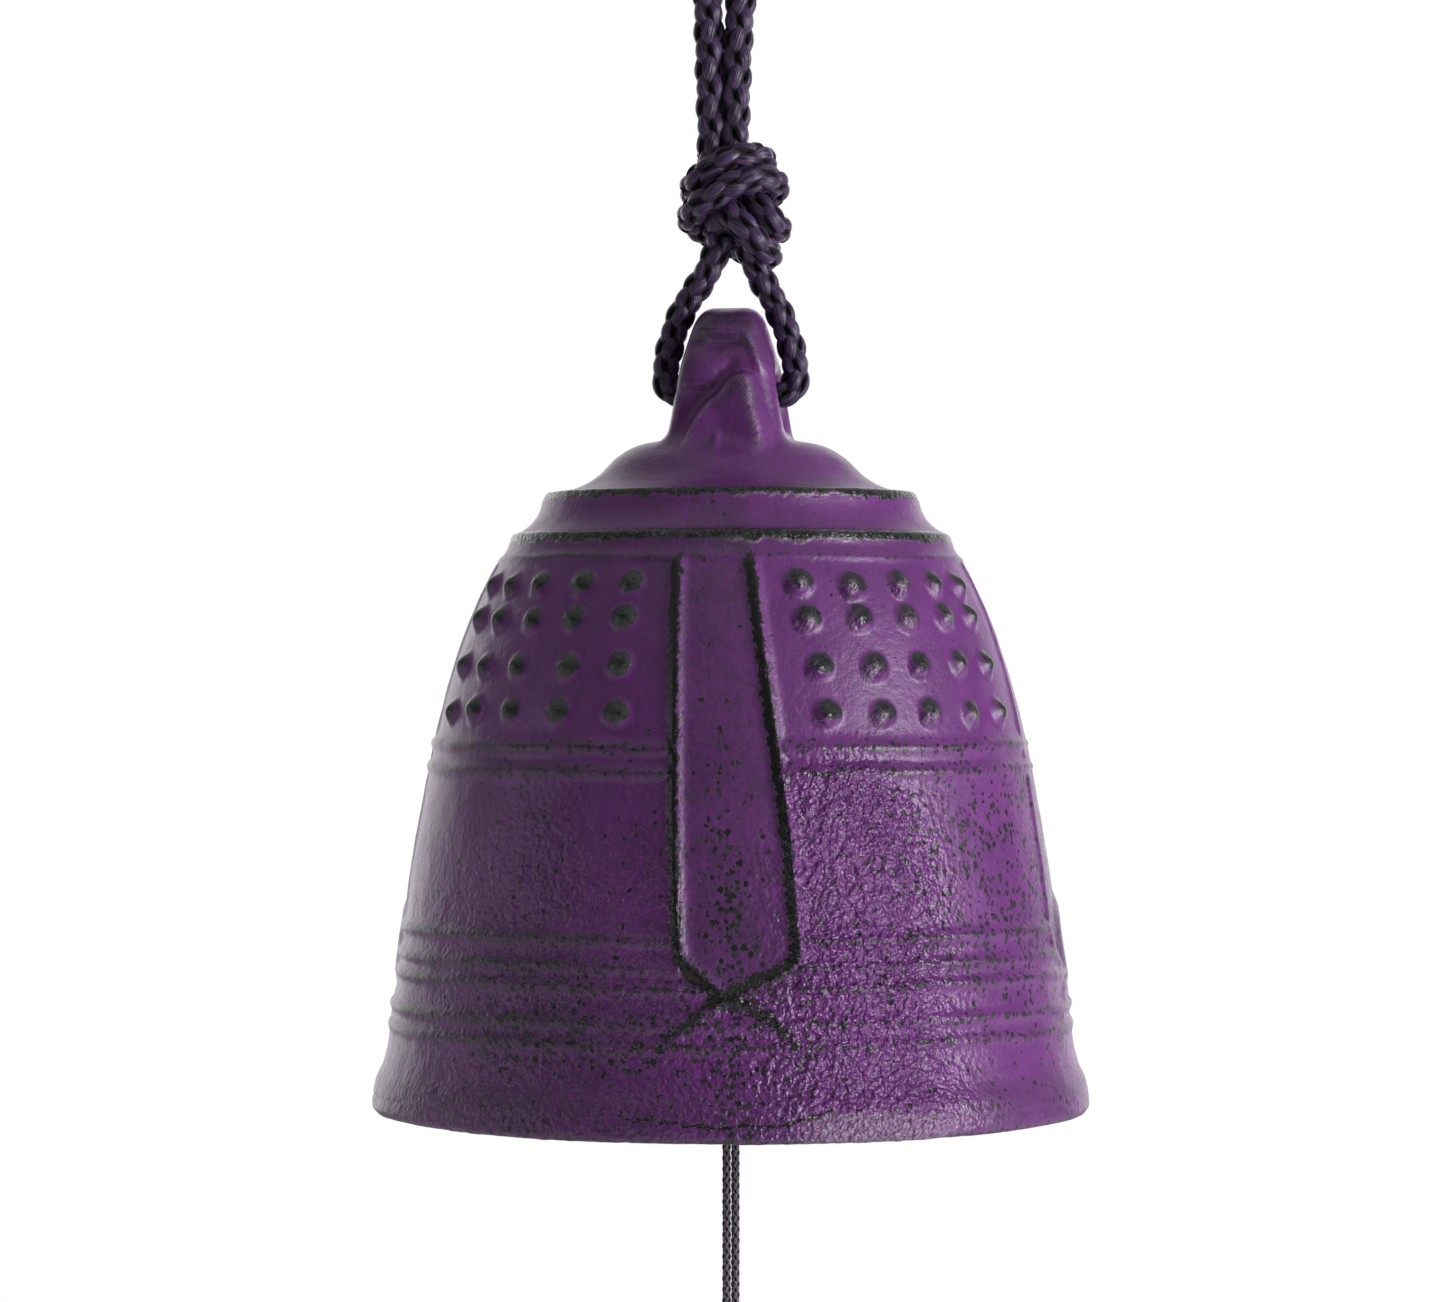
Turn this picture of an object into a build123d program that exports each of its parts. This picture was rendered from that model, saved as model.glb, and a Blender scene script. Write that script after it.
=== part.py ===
"""A small cast-iron wind bell on a doubled braided cord, with its clapper and its paper wind strip.

Millimetres, +Z up, +Y to the back. The origin is the hanging point: the underside of the cord at the top of
the hanging loop. Heights are named above the plane of the bell's rim, and level() turns them into Z.
"""

from build123d import *
import os
from math import acos, atan2, cos, pi, radians, sin, sqrt, tan

os.makedirs("parts", exist_ok=True)

# Bell shell
RIM_DIAMETER = 60.0
RIM_THICKNESS = 3.8
RIM_BAND = 1.9
RIM_ROUND = 0.5
WAIST_RADIUS = 28.7
WAIST_HEIGHT = 5.4
SHOULDER_RADIUS = 18.7
SHOULDER_HEIGHT = 46.9
SHOULDER_ARM_OUT = 6.5
SHOULDER_ARM_DOWN = 10.0
WAIST_ARM_IN = 2.1
WAIST_ARM_UP = 14.0
WALL = 3.0

# Shoulder rings and crown
LOWER_RING_RISE = 1.1
LOWER_RING_DRAFT = 0.3
LOWER_RING_LEDGE = 0.75
COVE_WIDTH = 1.85
COVE_RISE = 2.55
COVE_SAG = 0.35
UPPER_RING_RISE = 0.75
UPPER_RING_DRAFT = 0.3
UPPER_RING_LEDGE = 2.2
RING_LEDGE_RISE = 0.25
CROWN_FOOT_WIDTH = 2.3
CROWN_FOOT_RISE = 1.5
CROWN_FOOT_SAG = 0.35
CROWN_FLAT_RADIUS = 6.2
CROWN_RISE = 9.0
CROWN_SAG = 0.75
CROWN_WALL = 3.6

# Bosses, in four panels between the straps
PANELS = 4
BOSS_COLUMNS = 5
BOSS_PITCH_DEG = 13.0
BOSS_DROPS = (2.6, 5.8, 9.7, 13.6)
BOSS_DIAMETER = 2.2
BOSS_HEIGHT = 0.9

# Lug on the crown, an arch with its hole along X
LUG_RISE = 11.2
LUG_TOP_WIDTH = 5.4
LUG_FOOT_WIDTH = 10.3
LUG_FLARE_WIDTH = 11.8
LUG_FLARE_RISE = 1.0
LUG_TOP_DEPTH = 8.6
LUG_FOOT_DEPTH = 13.4
LUG_TOP_ROUND = 1.4
LUG_CREST_ROUND = 2.6
LUG_SINK = 1.2
LUG_HOLE_WIDTH = 5.6
LUG_HOLE_RISE = 5.2
LUG_HOLE_SILL = 0.3
LUG_HOLE_CORNER = 1.7
LUG_HOLE_ROUND = 1.0

# Hanger cord
CORD_DIAMETER = 2.3
KNOT_RISE = 8.3
HANG_RISE = 34.4
LOOP_HALF_WIDTH = 2.75
LOOP_BEND_SHARE = 0.985
RUN_SPACING = 2.4
RUN_SPLIT_SHARE = 0.4317
RUN_BEND_SHARE = 0.315
KNOT_WRAP_RADIUS = 2.6
KNOT_WRAP_THICKNESS = 1.9
KNOT_WRAP_SPACING = 4.4
KNOT_UPPER_TILT = 24.0
KNOT_LOWER_TILT = -34.0
KNOT_CORE_RADIUS = 3.0
LEG_SPACING = 3.6
LEG_MID_SPACING = 9.8
LEG_MID_RISE = 5.1
LEG_LOW_SPACING = 11.2
LEG_BEND_SHARE = 0.423
LEG_MID_BEND_SHARE = 0.367
CORD_PLAY = 0.15

# Clapper eye, a staple of wire cast into the crown
EYE_WIRE = 1.8
EYE_SPREAD = 5.2
EYE_DROP = 5.3
EYE_SEAT = 2.2

# Clapper cord, its knots and its loops
THREAD_DIAMETER = 0.72
THREAD_SPACING = 0.8
THREAD_PLAY = 0.1
KNOT_GAP = 0.15
EYE_KNOT_DROP = 5.0
EYE_KNOT_DIAMETER = 3.0
CLAPPER_KNOT_DIAMETER = 3.4
STRIP_KNOT_DIAMETER = 3.0
STRIP_KNOT_HEIGHT = -35.0

# Clapper
CLAPPER_RADIUS = 11.5
CLAPPER_BASE_HEIGHT = 3.2
CLAPPER_EDGE = 1.8
CLAPPER_BORE = 2.2
HUB_RADIUS = 3.2
HUB_FOOT_RISE = 6.2
HUB_RISE = 9.4
HUB_ROUND = 0.6

# Wind strip
STRIP_WIDTH = 40.0
STRIP_LENGTH = 105.0
STRIP_THICKNESS = 0.4
STRIP_CORNER = 1.0
STRIP_HOLE = 3.0
STRIP_HOLE_MARGIN = 4.5
STRIP_DROP = 8.0

RIM_RADIUS = RIM_DIAMETER / 2
CROWN_HEIGHT = SHOULDER_HEIGHT + CROWN_RISE
KNOT_HEIGHT = CROWN_HEIGHT + LUG_RISE + KNOT_RISE
HANG_HEIGHT = KNOT_HEIGHT + HANG_RISE
CORD_RADIUS = CORD_DIAMETER / 2
THREAD_RADIUS = THREAD_DIAMETER / 2


def level(height):
    """The Z of a height above the rim's plane."""
    return height - HANG_HEIGHT


WALL_CURVE = (
    (SHOULDER_RADIUS, level(SHOULDER_HEIGHT)),
    (SHOULDER_RADIUS + SHOULDER_ARM_OUT, level(SHOULDER_HEIGHT - SHOULDER_ARM_DOWN)),
    (WAIST_RADIUS - WAIST_ARM_IN, level(WAIST_HEIGHT + WAIST_ARM_UP)),
    (WAIST_RADIUS, level(WAIST_HEIGHT)),
)


def wall_radius(z):
    """The radius of the outer wall between the waist and the shoulder, found by halving."""
    low, high = 0.0, 1.0
    for _ in range(40):
        t = (low + high) / 2
        shares = ((1 - t) ** 3, 3 * t * (1 - t) ** 2, 3 * t * t * (1 - t), t**3)
        at = sum(s * p[1] for s, p in zip(shares, WALL_CURVE))
        low, high = (t, high) if at > z else (low, t)
    return sum(s * p[0] for s, p in zip(shares, WALL_CURVE))


def tangent_angle(radius, across, along):
    """The angle at a circle's centre from its axis to where the tangent from an outside point touches it."""
    return acos(radius / sqrt(across**2 + along**2)) + atan2(across, along)


def report_tube(name, part, path, radius):
    """Print a tube's length, and its volume beside its section times its length."""
    length = sum(edge.length for edge in path.edges())
    print(f"{name}: length {length:.2f}, volume {part.volume:.2f}, by length {pi * radius**2 * length:.2f}")


# Clapper eye: a staple in the YZ plane, its wire running along Y where the cord hangs
DOME_TOP = CROWN_HEIGHT - CROWN_WALL
EYE_WIRE_HEIGHT = DOME_TOP - EYE_DROP
EYE_BEND_HEIGHT = EYE_WIRE_HEIGHT + EYE_SPREAD / 2
EYE_TOP = DOME_TOP + EYE_SEAT
with BuildPart() as clapper_eye:
    with BuildLine(Plane.YZ) as staple:
        Line((-EYE_SPREAD / 2, level(EYE_TOP)), (-EYE_SPREAD / 2, level(EYE_BEND_HEIGHT)))
        ThreePointArc(
            (-EYE_SPREAD / 2, level(EYE_BEND_HEIGHT)),
            (0, level(EYE_WIRE_HEIGHT)),
            (EYE_SPREAD / 2, level(EYE_BEND_HEIGHT)),
        )
        Line((EYE_SPREAD / 2, level(EYE_BEND_HEIGHT)), (EYE_SPREAD / 2, level(EYE_TOP)))
    with BuildSketch(Plane(origin=staple.line @ 0, z_dir=staple.line % 0)):
        Circle(EYE_WIRE / 2)
    sweep(path=staple.line)
clapper_eye.part.label = "clapper_eye"

# Lug: the outline seen from the front, within the arch seen from the side
HOLE_ROOF = CROWN_HEIGHT + LUG_HOLE_RISE
HOLE_FLOOR = CROWN_HEIGHT + LUG_FLARE_RISE + LUG_HOLE_SILL
with BuildPart() as lug:
    with BuildSketch(Plane.YZ) as arch:
        with BuildLine():
            Polyline(
                (-LUG_FOOT_DEPTH / 2, level(CROWN_HEIGHT - LUG_SINK)),
                (-LUG_FOOT_DEPTH / 2, level(CROWN_HEIGHT)),
                (-LUG_TOP_DEPTH / 2, level(CROWN_HEIGHT + LUG_RISE)),
                (LUG_TOP_DEPTH / 2, level(CROWN_HEIGHT + LUG_RISE)),
                (LUG_FOOT_DEPTH / 2, level(CROWN_HEIGHT)),
                (LUG_FOOT_DEPTH / 2, level(CROWN_HEIGHT - LUG_SINK)),
                close=True,
            )
        make_face()
        fillet(arch.vertices().group_by(Axis.Y)[-1], LUG_CREST_ROUND)
    extrude(amount=LUG_FLARE_WIDTH / 2, both=True)
    with BuildSketch(Plane.XZ) as front:
        with BuildLine():
            Polyline(
                (-LUG_FLARE_WIDTH / 2, level(CROWN_HEIGHT - LUG_SINK)),
                (-LUG_FLARE_WIDTH / 2, level(CROWN_HEIGHT)),
                (-LUG_FOOT_WIDTH / 2, level(CROWN_HEIGHT + LUG_FLARE_RISE)),
                (-LUG_TOP_WIDTH / 2, level(CROWN_HEIGHT + LUG_RISE)),
                (LUG_TOP_WIDTH / 2, level(CROWN_HEIGHT + LUG_RISE)),
                (LUG_FOOT_WIDTH / 2, level(CROWN_HEIGHT + LUG_FLARE_RISE)),
                (LUG_FLARE_WIDTH / 2, level(CROWN_HEIGHT)),
                (LUG_FLARE_WIDTH / 2, level(CROWN_HEIGHT - LUG_SINK)),
                close=True,
            )
        make_face()
        fillet(front.vertices().group_by(Axis.Y)[-1], LUG_TOP_ROUND)
    extrude(amount=LUG_FOOT_DEPTH, both=True, mode=Mode.INTERSECT)
    with BuildSketch(Plane.YZ):
        with Locations((0, level((HOLE_FLOOR + HOLE_ROOF) / 2))):
            RectangleRounded(LUG_HOLE_WIDTH, HOLE_ROOF - HOLE_FLOOR, LUG_HOLE_CORNER)
    extrude(amount=LUG_FLARE_WIDTH, both=True, mode=Mode.SUBTRACT)
    sides = lug.faces().filter_by(lambda face: len(face.inner_wires()) == 1)
    hole_rims = [edge for side in sides for wire in side.inner_wires() for edge in wire.edges()]
    fillet(hole_rims, LUG_HOLE_ROUND)

# Bell: the shell turned about Z, with the lug, the bosses and the seats of the eye
BOSS_SPHERE = ((BOSS_DIAMETER / 2) ** 2 + BOSS_HEIGHT**2) / (2 * BOSS_HEIGHT)
BOSS_PLACES = []
for panel in range(PANELS):
    for column in range(BOSS_COLUMNS):
        turn = radians(360 / PANELS * (panel + 0.5) + BOSS_PITCH_DEG * (column - (BOSS_COLUMNS - 1) / 2))
        for drop in BOSS_DROPS:
            row = level(SHOULDER_HEIGHT - drop)
            reach = wall_radius(row) + BOSS_HEIGHT - BOSS_SPHERE
            outwards = Vector(sin(turn), -cos(turn), 0)
            BOSS_PLACES.append(Plane(origin=outwards * reach + Vector(0, 0, row), z_dir=outwards))

RING_TOP = (SHOULDER_RADIUS - LOWER_RING_DRAFT, level(SHOULDER_HEIGHT + LOWER_RING_RISE))
COVE_FOOT = (RING_TOP[0] - LOWER_RING_LEDGE, RING_TOP[1] + RING_LEDGE_RISE)
COVE_TOP = (COVE_FOOT[0] - COVE_WIDTH, COVE_FOOT[1] + COVE_RISE)
UPPER_RING_TOP = (COVE_TOP[0] - UPPER_RING_DRAFT, COVE_TOP[1] + UPPER_RING_RISE)
CROWN_FOOT = (UPPER_RING_TOP[0] - UPPER_RING_LEDGE, UPPER_RING_TOP[1] + RING_LEDGE_RISE)
CROWN_NECK = (CROWN_FOOT[0] - CROWN_FOOT_WIDTH, CROWN_FOOT[1] + CROWN_FOOT_RISE)
CROWN_EDGE = (CROWN_FLAT_RADIUS, level(CROWN_HEIGHT))

INNER_CURVE = [(radius - WALL, z) for radius, z in WALL_CURVE]
DOME_EDGE = INNER_CURVE[0]
DOME_RISE = level(DOME_TOP) - DOME_EDGE[1]
DOME_RADIUS = (DOME_EDGE[0] ** 2 + DOME_RISE**2) / (2 * DOME_RISE)
DOME_HALF_TURN = atan2(DOME_EDGE[0], DOME_RADIUS - DOME_RISE) / 2
DOME_MIDDLE = (
    DOME_RADIUS * sin(DOME_HALF_TURN),
    level(DOME_TOP) - DOME_RADIUS * (1 - cos(DOME_HALF_TURN)),
)

with BuildPart() as bell:
    with BuildSketch(Plane.XZ) as section:
        with BuildLine():
            Line((0, level(DOME_TOP)), (0, level(CROWN_HEIGHT)))
            Line((0, level(CROWN_HEIGHT)), CROWN_EDGE)
            SagittaArc(CROWN_EDGE, CROWN_NECK, CROWN_SAG)
            SagittaArc(CROWN_NECK, CROWN_FOOT, -CROWN_FOOT_SAG)
            Line(CROWN_FOOT, UPPER_RING_TOP)
            Line(UPPER_RING_TOP, COVE_TOP)
            SagittaArc(COVE_TOP, COVE_FOOT, -COVE_SAG)
            Line(COVE_FOOT, RING_TOP)
            Line(RING_TOP, WALL_CURVE[0])
            Bezier(*WALL_CURVE)
            Line(WALL_CURVE[-1], (RIM_RADIUS, level(RIM_BAND)))
            Line((RIM_RADIUS, level(RIM_BAND)), (RIM_RADIUS, level(0)))
            Line((RIM_RADIUS, level(0)), (RIM_RADIUS - RIM_THICKNESS, level(0)))
            Line((RIM_RADIUS - RIM_THICKNESS, level(0)), INNER_CURVE[-1])
            Bezier(*INNER_CURVE[::-1])
            ThreePointArc(DOME_EDGE, DOME_MIDDLE, (0, level(DOME_TOP)))
        make_face()
        fillet(section.vertices().group_by(Axis.Y)[0], RIM_ROUND)
    revolve(axis=Axis.Z)
    add(lug.part)
    with Locations(*BOSS_PLACES):
        Sphere(BOSS_SPHERE)
    add(clapper_eye.part, mode=Mode.SUBTRACT)
bell.part.label = "bell"

# Hanging loop: two runs up from the knot, round the hanging point
LOOP_TOP = CORD_RADIUS
RUN_FOOT = level(KNOT_HEIGHT + KNOT_WRAP_SPACING / 2)
RUN_SPLIT = RUN_FOOT * (1 - RUN_SPLIT_SHARE)
LOOP_ROUTE = (
    (-RUN_SPACING / 2, RUN_FOOT),
    (-RUN_SPACING / 2, RUN_SPLIT),
    (-LOOP_HALF_WIDTH, LOOP_TOP),
    (LOOP_HALF_WIDTH, LOOP_TOP),
    (RUN_SPACING / 2, RUN_SPLIT),
    (RUN_SPACING / 2, RUN_FOOT),
)
RUN_LEAN = atan2(LOOP_HALF_WIDTH - RUN_SPACING / 2, LOOP_TOP - RUN_SPLIT)
RUN_BEND_RADIUS = RUN_BEND_SHARE * (RUN_SPLIT - RUN_FOOT) / tan(RUN_LEAN / 2)
LOOP_BEND_RADIUS = LOOP_BEND_SHARE * LOOP_HALF_WIDTH / tan((pi / 2 + RUN_LEAN) / 2)
LOOP_RADII = (RUN_BEND_RADIUS, LOOP_BEND_RADIUS, LOOP_BEND_RADIUS, RUN_BEND_RADIUS)
with BuildPart() as hanging_loop:
    with BuildLine(Plane.XZ) as loop_line:
        FilletPolyline(*LOOP_ROUTE, radius=LOOP_RADII)
    with BuildSketch(Plane(origin=loop_line.line @ 0, z_dir=loop_line.line % 0)):
        Circle(CORD_RADIUS)
    sweep(path=loop_line.line)
hanging_loop.part.label = "hanging_loop"
print("hanging_loop radii", LOOP_RADII)
report_tube("hanging_loop", hanging_loop.part, loop_line.line, CORD_RADIUS)

# Hanger knot: two tilted wraps of the doubled cord round its core
with BuildPart() as hanger_knot:
    with Locations((0, 0, level(KNOT_HEIGHT))):
        Sphere(KNOT_CORE_RADIUS)
    with Locations(Location((0, 0, level(KNOT_HEIGHT + KNOT_WRAP_SPACING / 2)), (0, KNOT_UPPER_TILT, 0))):
        Torus(KNOT_WRAP_RADIUS, KNOT_WRAP_THICKNESS)
    with Locations(Location((0, 0, level(KNOT_HEIGHT - KNOT_WRAP_SPACING / 2)), (0, KNOT_LOWER_TILT, 0))):
        Torus(KNOT_WRAP_RADIUS, KNOT_WRAP_THICKNESS)
hanger_knot.part.label = "hanger_knot"

# Lug loop: two legs down from the knot, each side of the lug and under its bar
PASS_HEIGHT = HOLE_ROOF - CORD_PLAY - CORD_RADIUS
LEG_ROUTE = (
    (-LEG_SPACING / 2, level(KNOT_HEIGHT - KNOT_WRAP_SPACING / 2)),
    (-LEG_MID_SPACING / 2, level(PASS_HEIGHT + LEG_MID_RISE)),
    (-LEG_LOW_SPACING / 2, level(PASS_HEIGHT)),
    (LEG_LOW_SPACING / 2, level(PASS_HEIGHT)),
    (LEG_MID_SPACING / 2, level(PASS_HEIGHT + LEG_MID_RISE)),
    (LEG_SPACING / 2, level(KNOT_HEIGHT - KNOT_WRAP_SPACING / 2)),
)
LEG_FLARE = (LEG_LOW_SPACING - LEG_MID_SPACING) / 2
LEG_LOWER = sqrt(LEG_FLARE**2 + LEG_MID_RISE**2)
LEG_LEAN = atan2(LEG_FLARE, LEG_MID_RISE)
LEG_UPPER_LEAN = atan2(LEG_ROUTE[0][0] - LEG_ROUTE[1][0], LEG_ROUTE[0][1] - LEG_ROUTE[1][1])
LEG_BEND_RADIUS = LEG_BEND_SHARE * LEG_LOWER / tan((pi / 2 + LEG_LEAN) / 2)
LEG_MID_BEND_RADIUS = LEG_MID_BEND_SHARE * LEG_LOWER / tan((LEG_UPPER_LEAN - LEG_LEAN) / 2)
LEG_RADII = (LEG_MID_BEND_RADIUS, LEG_BEND_RADIUS, LEG_BEND_RADIUS, LEG_MID_BEND_RADIUS)
with BuildPart() as lug_loop:
    with BuildLine(Plane.XZ) as leg_line:
        FilletPolyline(*LEG_ROUTE, radius=LEG_RADII)
    with BuildSketch(Plane(origin=leg_line.line @ 0, z_dir=leg_line.line % 0)):
        Circle(CORD_RADIUS)
    sweep(path=leg_line.line)
lug_loop.part.label = "lug_loop"
print("lug_loop radii", LEG_RADII)
report_tube("lug_loop", lug_loop.part, leg_line.line, CORD_RADIUS)

# Eye loop: the bight of the clapper cord over the wire of the eye, down to its knot
EYE_KNOT_HEIGHT = EYE_WIRE_HEIGHT - EYE_KNOT_DROP
EYE_LOOP_RADIUS = EYE_WIRE / 2 + THREAD_PLAY + THREAD_RADIUS
EYE_LOOP_END = EYE_KNOT_HEIGHT + EYE_KNOT_DIAMETER / 2 + KNOT_GAP
EYE_LOOP_TURN = tangent_angle(EYE_LOOP_RADIUS, THREAD_SPACING / 2, EYE_WIRE_HEIGHT - EYE_LOOP_END)
EYE_LOOP_TOUCH = (
    EYE_LOOP_RADIUS * sin(EYE_LOOP_TURN),
    level(EYE_WIRE_HEIGHT) - EYE_LOOP_RADIUS * cos(EYE_LOOP_TURN),
)
with BuildPart() as eye_loop:
    with BuildLine(Plane.XZ) as bight:
        Line((-THREAD_SPACING / 2, level(EYE_LOOP_END)), (-EYE_LOOP_TOUCH[0], EYE_LOOP_TOUCH[1]))
        ThreePointArc(
            (-EYE_LOOP_TOUCH[0], EYE_LOOP_TOUCH[1]),
            (0, level(EYE_WIRE_HEIGHT) + EYE_LOOP_RADIUS),
            EYE_LOOP_TOUCH,
        )
        Line(EYE_LOOP_TOUCH, (THREAD_SPACING / 2, level(EYE_LOOP_END)))
    with BuildSketch(Plane(origin=bight.line @ 0, z_dir=bight.line % 0)):
        Circle(THREAD_RADIUS)
    sweep(path=bight.line)
eye_loop.part.label = "eye_loop"
print("eye_loop radius", EYE_LOOP_RADIUS)
report_tube("eye_loop", eye_loop.part, bight.line, THREAD_RADIUS)

with BuildPart() as eye_knot:
    with Locations((0, 0, level(EYE_KNOT_HEIGHT))):
        Sphere(EYE_KNOT_DIAMETER / 2)
eye_knot.part.label = "eye_knot"

# Clapper: a round-edged disc with a tall hub, bored for the two strands
EDGE_MIDDLE = CLAPPER_BASE_HEIGHT + CLAPPER_EDGE
EDGE_TOP = (CLAPPER_RADIUS - CLAPPER_EDGE, level(EDGE_MIDDLE + CLAPPER_EDGE))
HUB_FOOT = (HUB_RADIUS, level(CLAPPER_BASE_HEIGHT + HUB_FOOT_RISE))
HUB_TOP = level(CLAPPER_BASE_HEIGHT + HUB_RISE)
with BuildPart() as clapper:
    with BuildSketch(Plane.XZ) as clapper_section:
        with BuildLine():
            Line((CLAPPER_BORE / 2, HUB_TOP), (CLAPPER_BORE / 2, level(CLAPPER_BASE_HEIGHT)))
            Line((CLAPPER_BORE / 2, level(CLAPPER_BASE_HEIGHT)), (EDGE_TOP[0], level(CLAPPER_BASE_HEIGHT)))
            ThreePointArc(
                (EDGE_TOP[0], level(CLAPPER_BASE_HEIGHT)),
                (CLAPPER_RADIUS, level(EDGE_MIDDLE)),
                EDGE_TOP,
            )
            Line(EDGE_TOP, HUB_FOOT)
            Line(HUB_FOOT, (HUB_RADIUS, HUB_TOP))
            Line((HUB_RADIUS, HUB_TOP), (CLAPPER_BORE / 2, HUB_TOP))
        make_face()
        fillet(clapper_section.vertices().group_by(Axis.Y)[-1].sort_by(Axis.X)[-1], HUB_ROUND)
    revolve(axis=Axis.Z)
clapper.part.label = "clapper"

# Clapper knot: under the bore, its ball against the bore's lower edge
CLAPPER_KNOT_RADIUS = CLAPPER_KNOT_DIAMETER / 2
KNOT_SINK = sqrt((CLAPPER_KNOT_RADIUS + THREAD_PLAY) ** 2 - (CLAPPER_BORE / 2) ** 2)
CLAPPER_KNOT_HEIGHT = CLAPPER_BASE_HEIGHT - KNOT_SINK
with BuildPart() as clapper_knot:
    with Locations((0, 0, level(CLAPPER_KNOT_HEIGHT))):
        Sphere(CLAPPER_KNOT_RADIUS)
clapper_knot.part.label = "clapper_knot"

# Clapper cord: two strands side by side, from the eye knot down the bore to the clapper knot
CORD_TOP = EYE_KNOT_HEIGHT - EYE_KNOT_DIAMETER / 2 - KNOT_GAP
CORD_FOOT = CLAPPER_KNOT_HEIGHT + CLAPPER_KNOT_RADIUS + THREAD_PLAY
with BuildPart() as clapper_cord:
    with Locations((-THREAD_SPACING / 2, 0, level(CORD_FOOT)), (THREAD_SPACING / 2, 0, level(CORD_FOOT))):
        Cylinder(THREAD_RADIUS, CORD_TOP - CORD_FOOT, align=(Align.CENTER, Align.CENTER, Align.MIN))
clapper_cord.part.label = "clapper_cord"

# Strip cord: the two strands go on from the clapper knot to the strip knot
STRIP_CORD_TOP = CLAPPER_KNOT_HEIGHT - CLAPPER_KNOT_RADIUS - KNOT_GAP
STRIP_CORD_FOOT = STRIP_KNOT_HEIGHT + STRIP_KNOT_DIAMETER / 2 + KNOT_GAP
with BuildPart() as strip_cord:
    with Locations(
        (-THREAD_SPACING / 2, 0, level(STRIP_CORD_FOOT)),
        (THREAD_SPACING / 2, 0, level(STRIP_CORD_FOOT)),
    ):
        Cylinder(
            THREAD_RADIUS,
            STRIP_CORD_TOP - STRIP_CORD_FOOT,
            align=(Align.CENTER, Align.CENTER, Align.MIN),
        )
strip_cord.part.label = "strip_cord"

with BuildPart() as strip_knot:
    with Locations((0, 0, level(STRIP_KNOT_HEIGHT))):
        Sphere(STRIP_KNOT_DIAMETER / 2)
strip_knot.part.label = "strip_knot"

# Wind strip: a paper strip facing the front, hung by its punched hole
STRIP_TOP = STRIP_KNOT_HEIGHT - STRIP_DROP
HOLE_HEIGHT = STRIP_TOP - STRIP_HOLE_MARGIN
with BuildPart() as wind_strip:
    with BuildSketch(Plane.XZ) as sheet:
        with Locations((0, level(STRIP_TOP - STRIP_LENGTH / 2))):
            RectangleRounded(STRIP_WIDTH, STRIP_LENGTH, STRIP_CORNER)
        with Locations((0, level(HOLE_HEIGHT))):
            Circle(STRIP_HOLE / 2, mode=Mode.SUBTRACT)
    extrude(amount=STRIP_THICKNESS / 2, both=True)
wind_strip.part.label = "wind_strip"

# Strip loop: the strands go through the hole and back up, one each side of the paper
STRIP_LOOP_RADIUS = STRIP_THICKNESS / 2 + THREAD_PLAY + THREAD_DIAMETER
STRIP_LOOP_TOP = STRIP_KNOT_HEIGHT - STRIP_KNOT_DIAMETER / 2 - KNOT_GAP
STRIP_LOOP_LOW = HOLE_HEIGHT + STRIP_HOLE / 2 - THREAD_PLAY - THREAD_RADIUS
STRIP_LOOP_MIDDLE = STRIP_LOOP_LOW + STRIP_LOOP_RADIUS
STRIP_LOOP_TURN = tangent_angle(STRIP_LOOP_RADIUS, THREAD_SPACING / 2, STRIP_LOOP_TOP - STRIP_LOOP_MIDDLE)
STRIP_LOOP_TOUCH = (
    STRIP_LOOP_RADIUS * sin(STRIP_LOOP_TURN),
    level(STRIP_LOOP_MIDDLE) + STRIP_LOOP_RADIUS * cos(STRIP_LOOP_TURN),
)
with BuildPart() as strip_loop:
    with BuildLine(Plane.YZ) as strip_bight:
        Line((-THREAD_SPACING / 2, level(STRIP_LOOP_TOP)), (-STRIP_LOOP_TOUCH[0], STRIP_LOOP_TOUCH[1]))
        ThreePointArc(
            (-STRIP_LOOP_TOUCH[0], STRIP_LOOP_TOUCH[1]),
            (0, level(STRIP_LOOP_LOW)),
            STRIP_LOOP_TOUCH,
        )
        Line(STRIP_LOOP_TOUCH, (THREAD_SPACING / 2, level(STRIP_LOOP_TOP)))
    with BuildSketch(Plane(origin=strip_bight.line @ 0, z_dir=strip_bight.line % 0)):
        Circle(THREAD_RADIUS)
    sweep(path=strip_bight.line)
strip_loop.part.label = "strip_loop"
print("strip_loop radius", STRIP_LOOP_RADIUS)
report_tube("strip_loop", strip_loop.part, strip_bight.line, THREAD_RADIUS)

for node in (
    bell,
    clapper_eye,
    hanging_loop,
    hanger_knot,
    lug_loop,
    eye_loop,
    eye_knot,
    clapper_cord,
    clapper,
    clapper_knot,
    strip_cord,
    strip_knot,
    strip_loop,
    wind_strip,
):
    export_step(node.part, f"parts/{node.part.label}.step")
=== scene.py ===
"""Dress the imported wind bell: painted casting, braided cords, clapper and paper strip, with the studio round them.

Shapes are worked out in millimetres, as (x, y, height above the rim's plane), and placed in the row frame in metres.
"""
from math import cos, pi, radians, sin, sqrt

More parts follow.
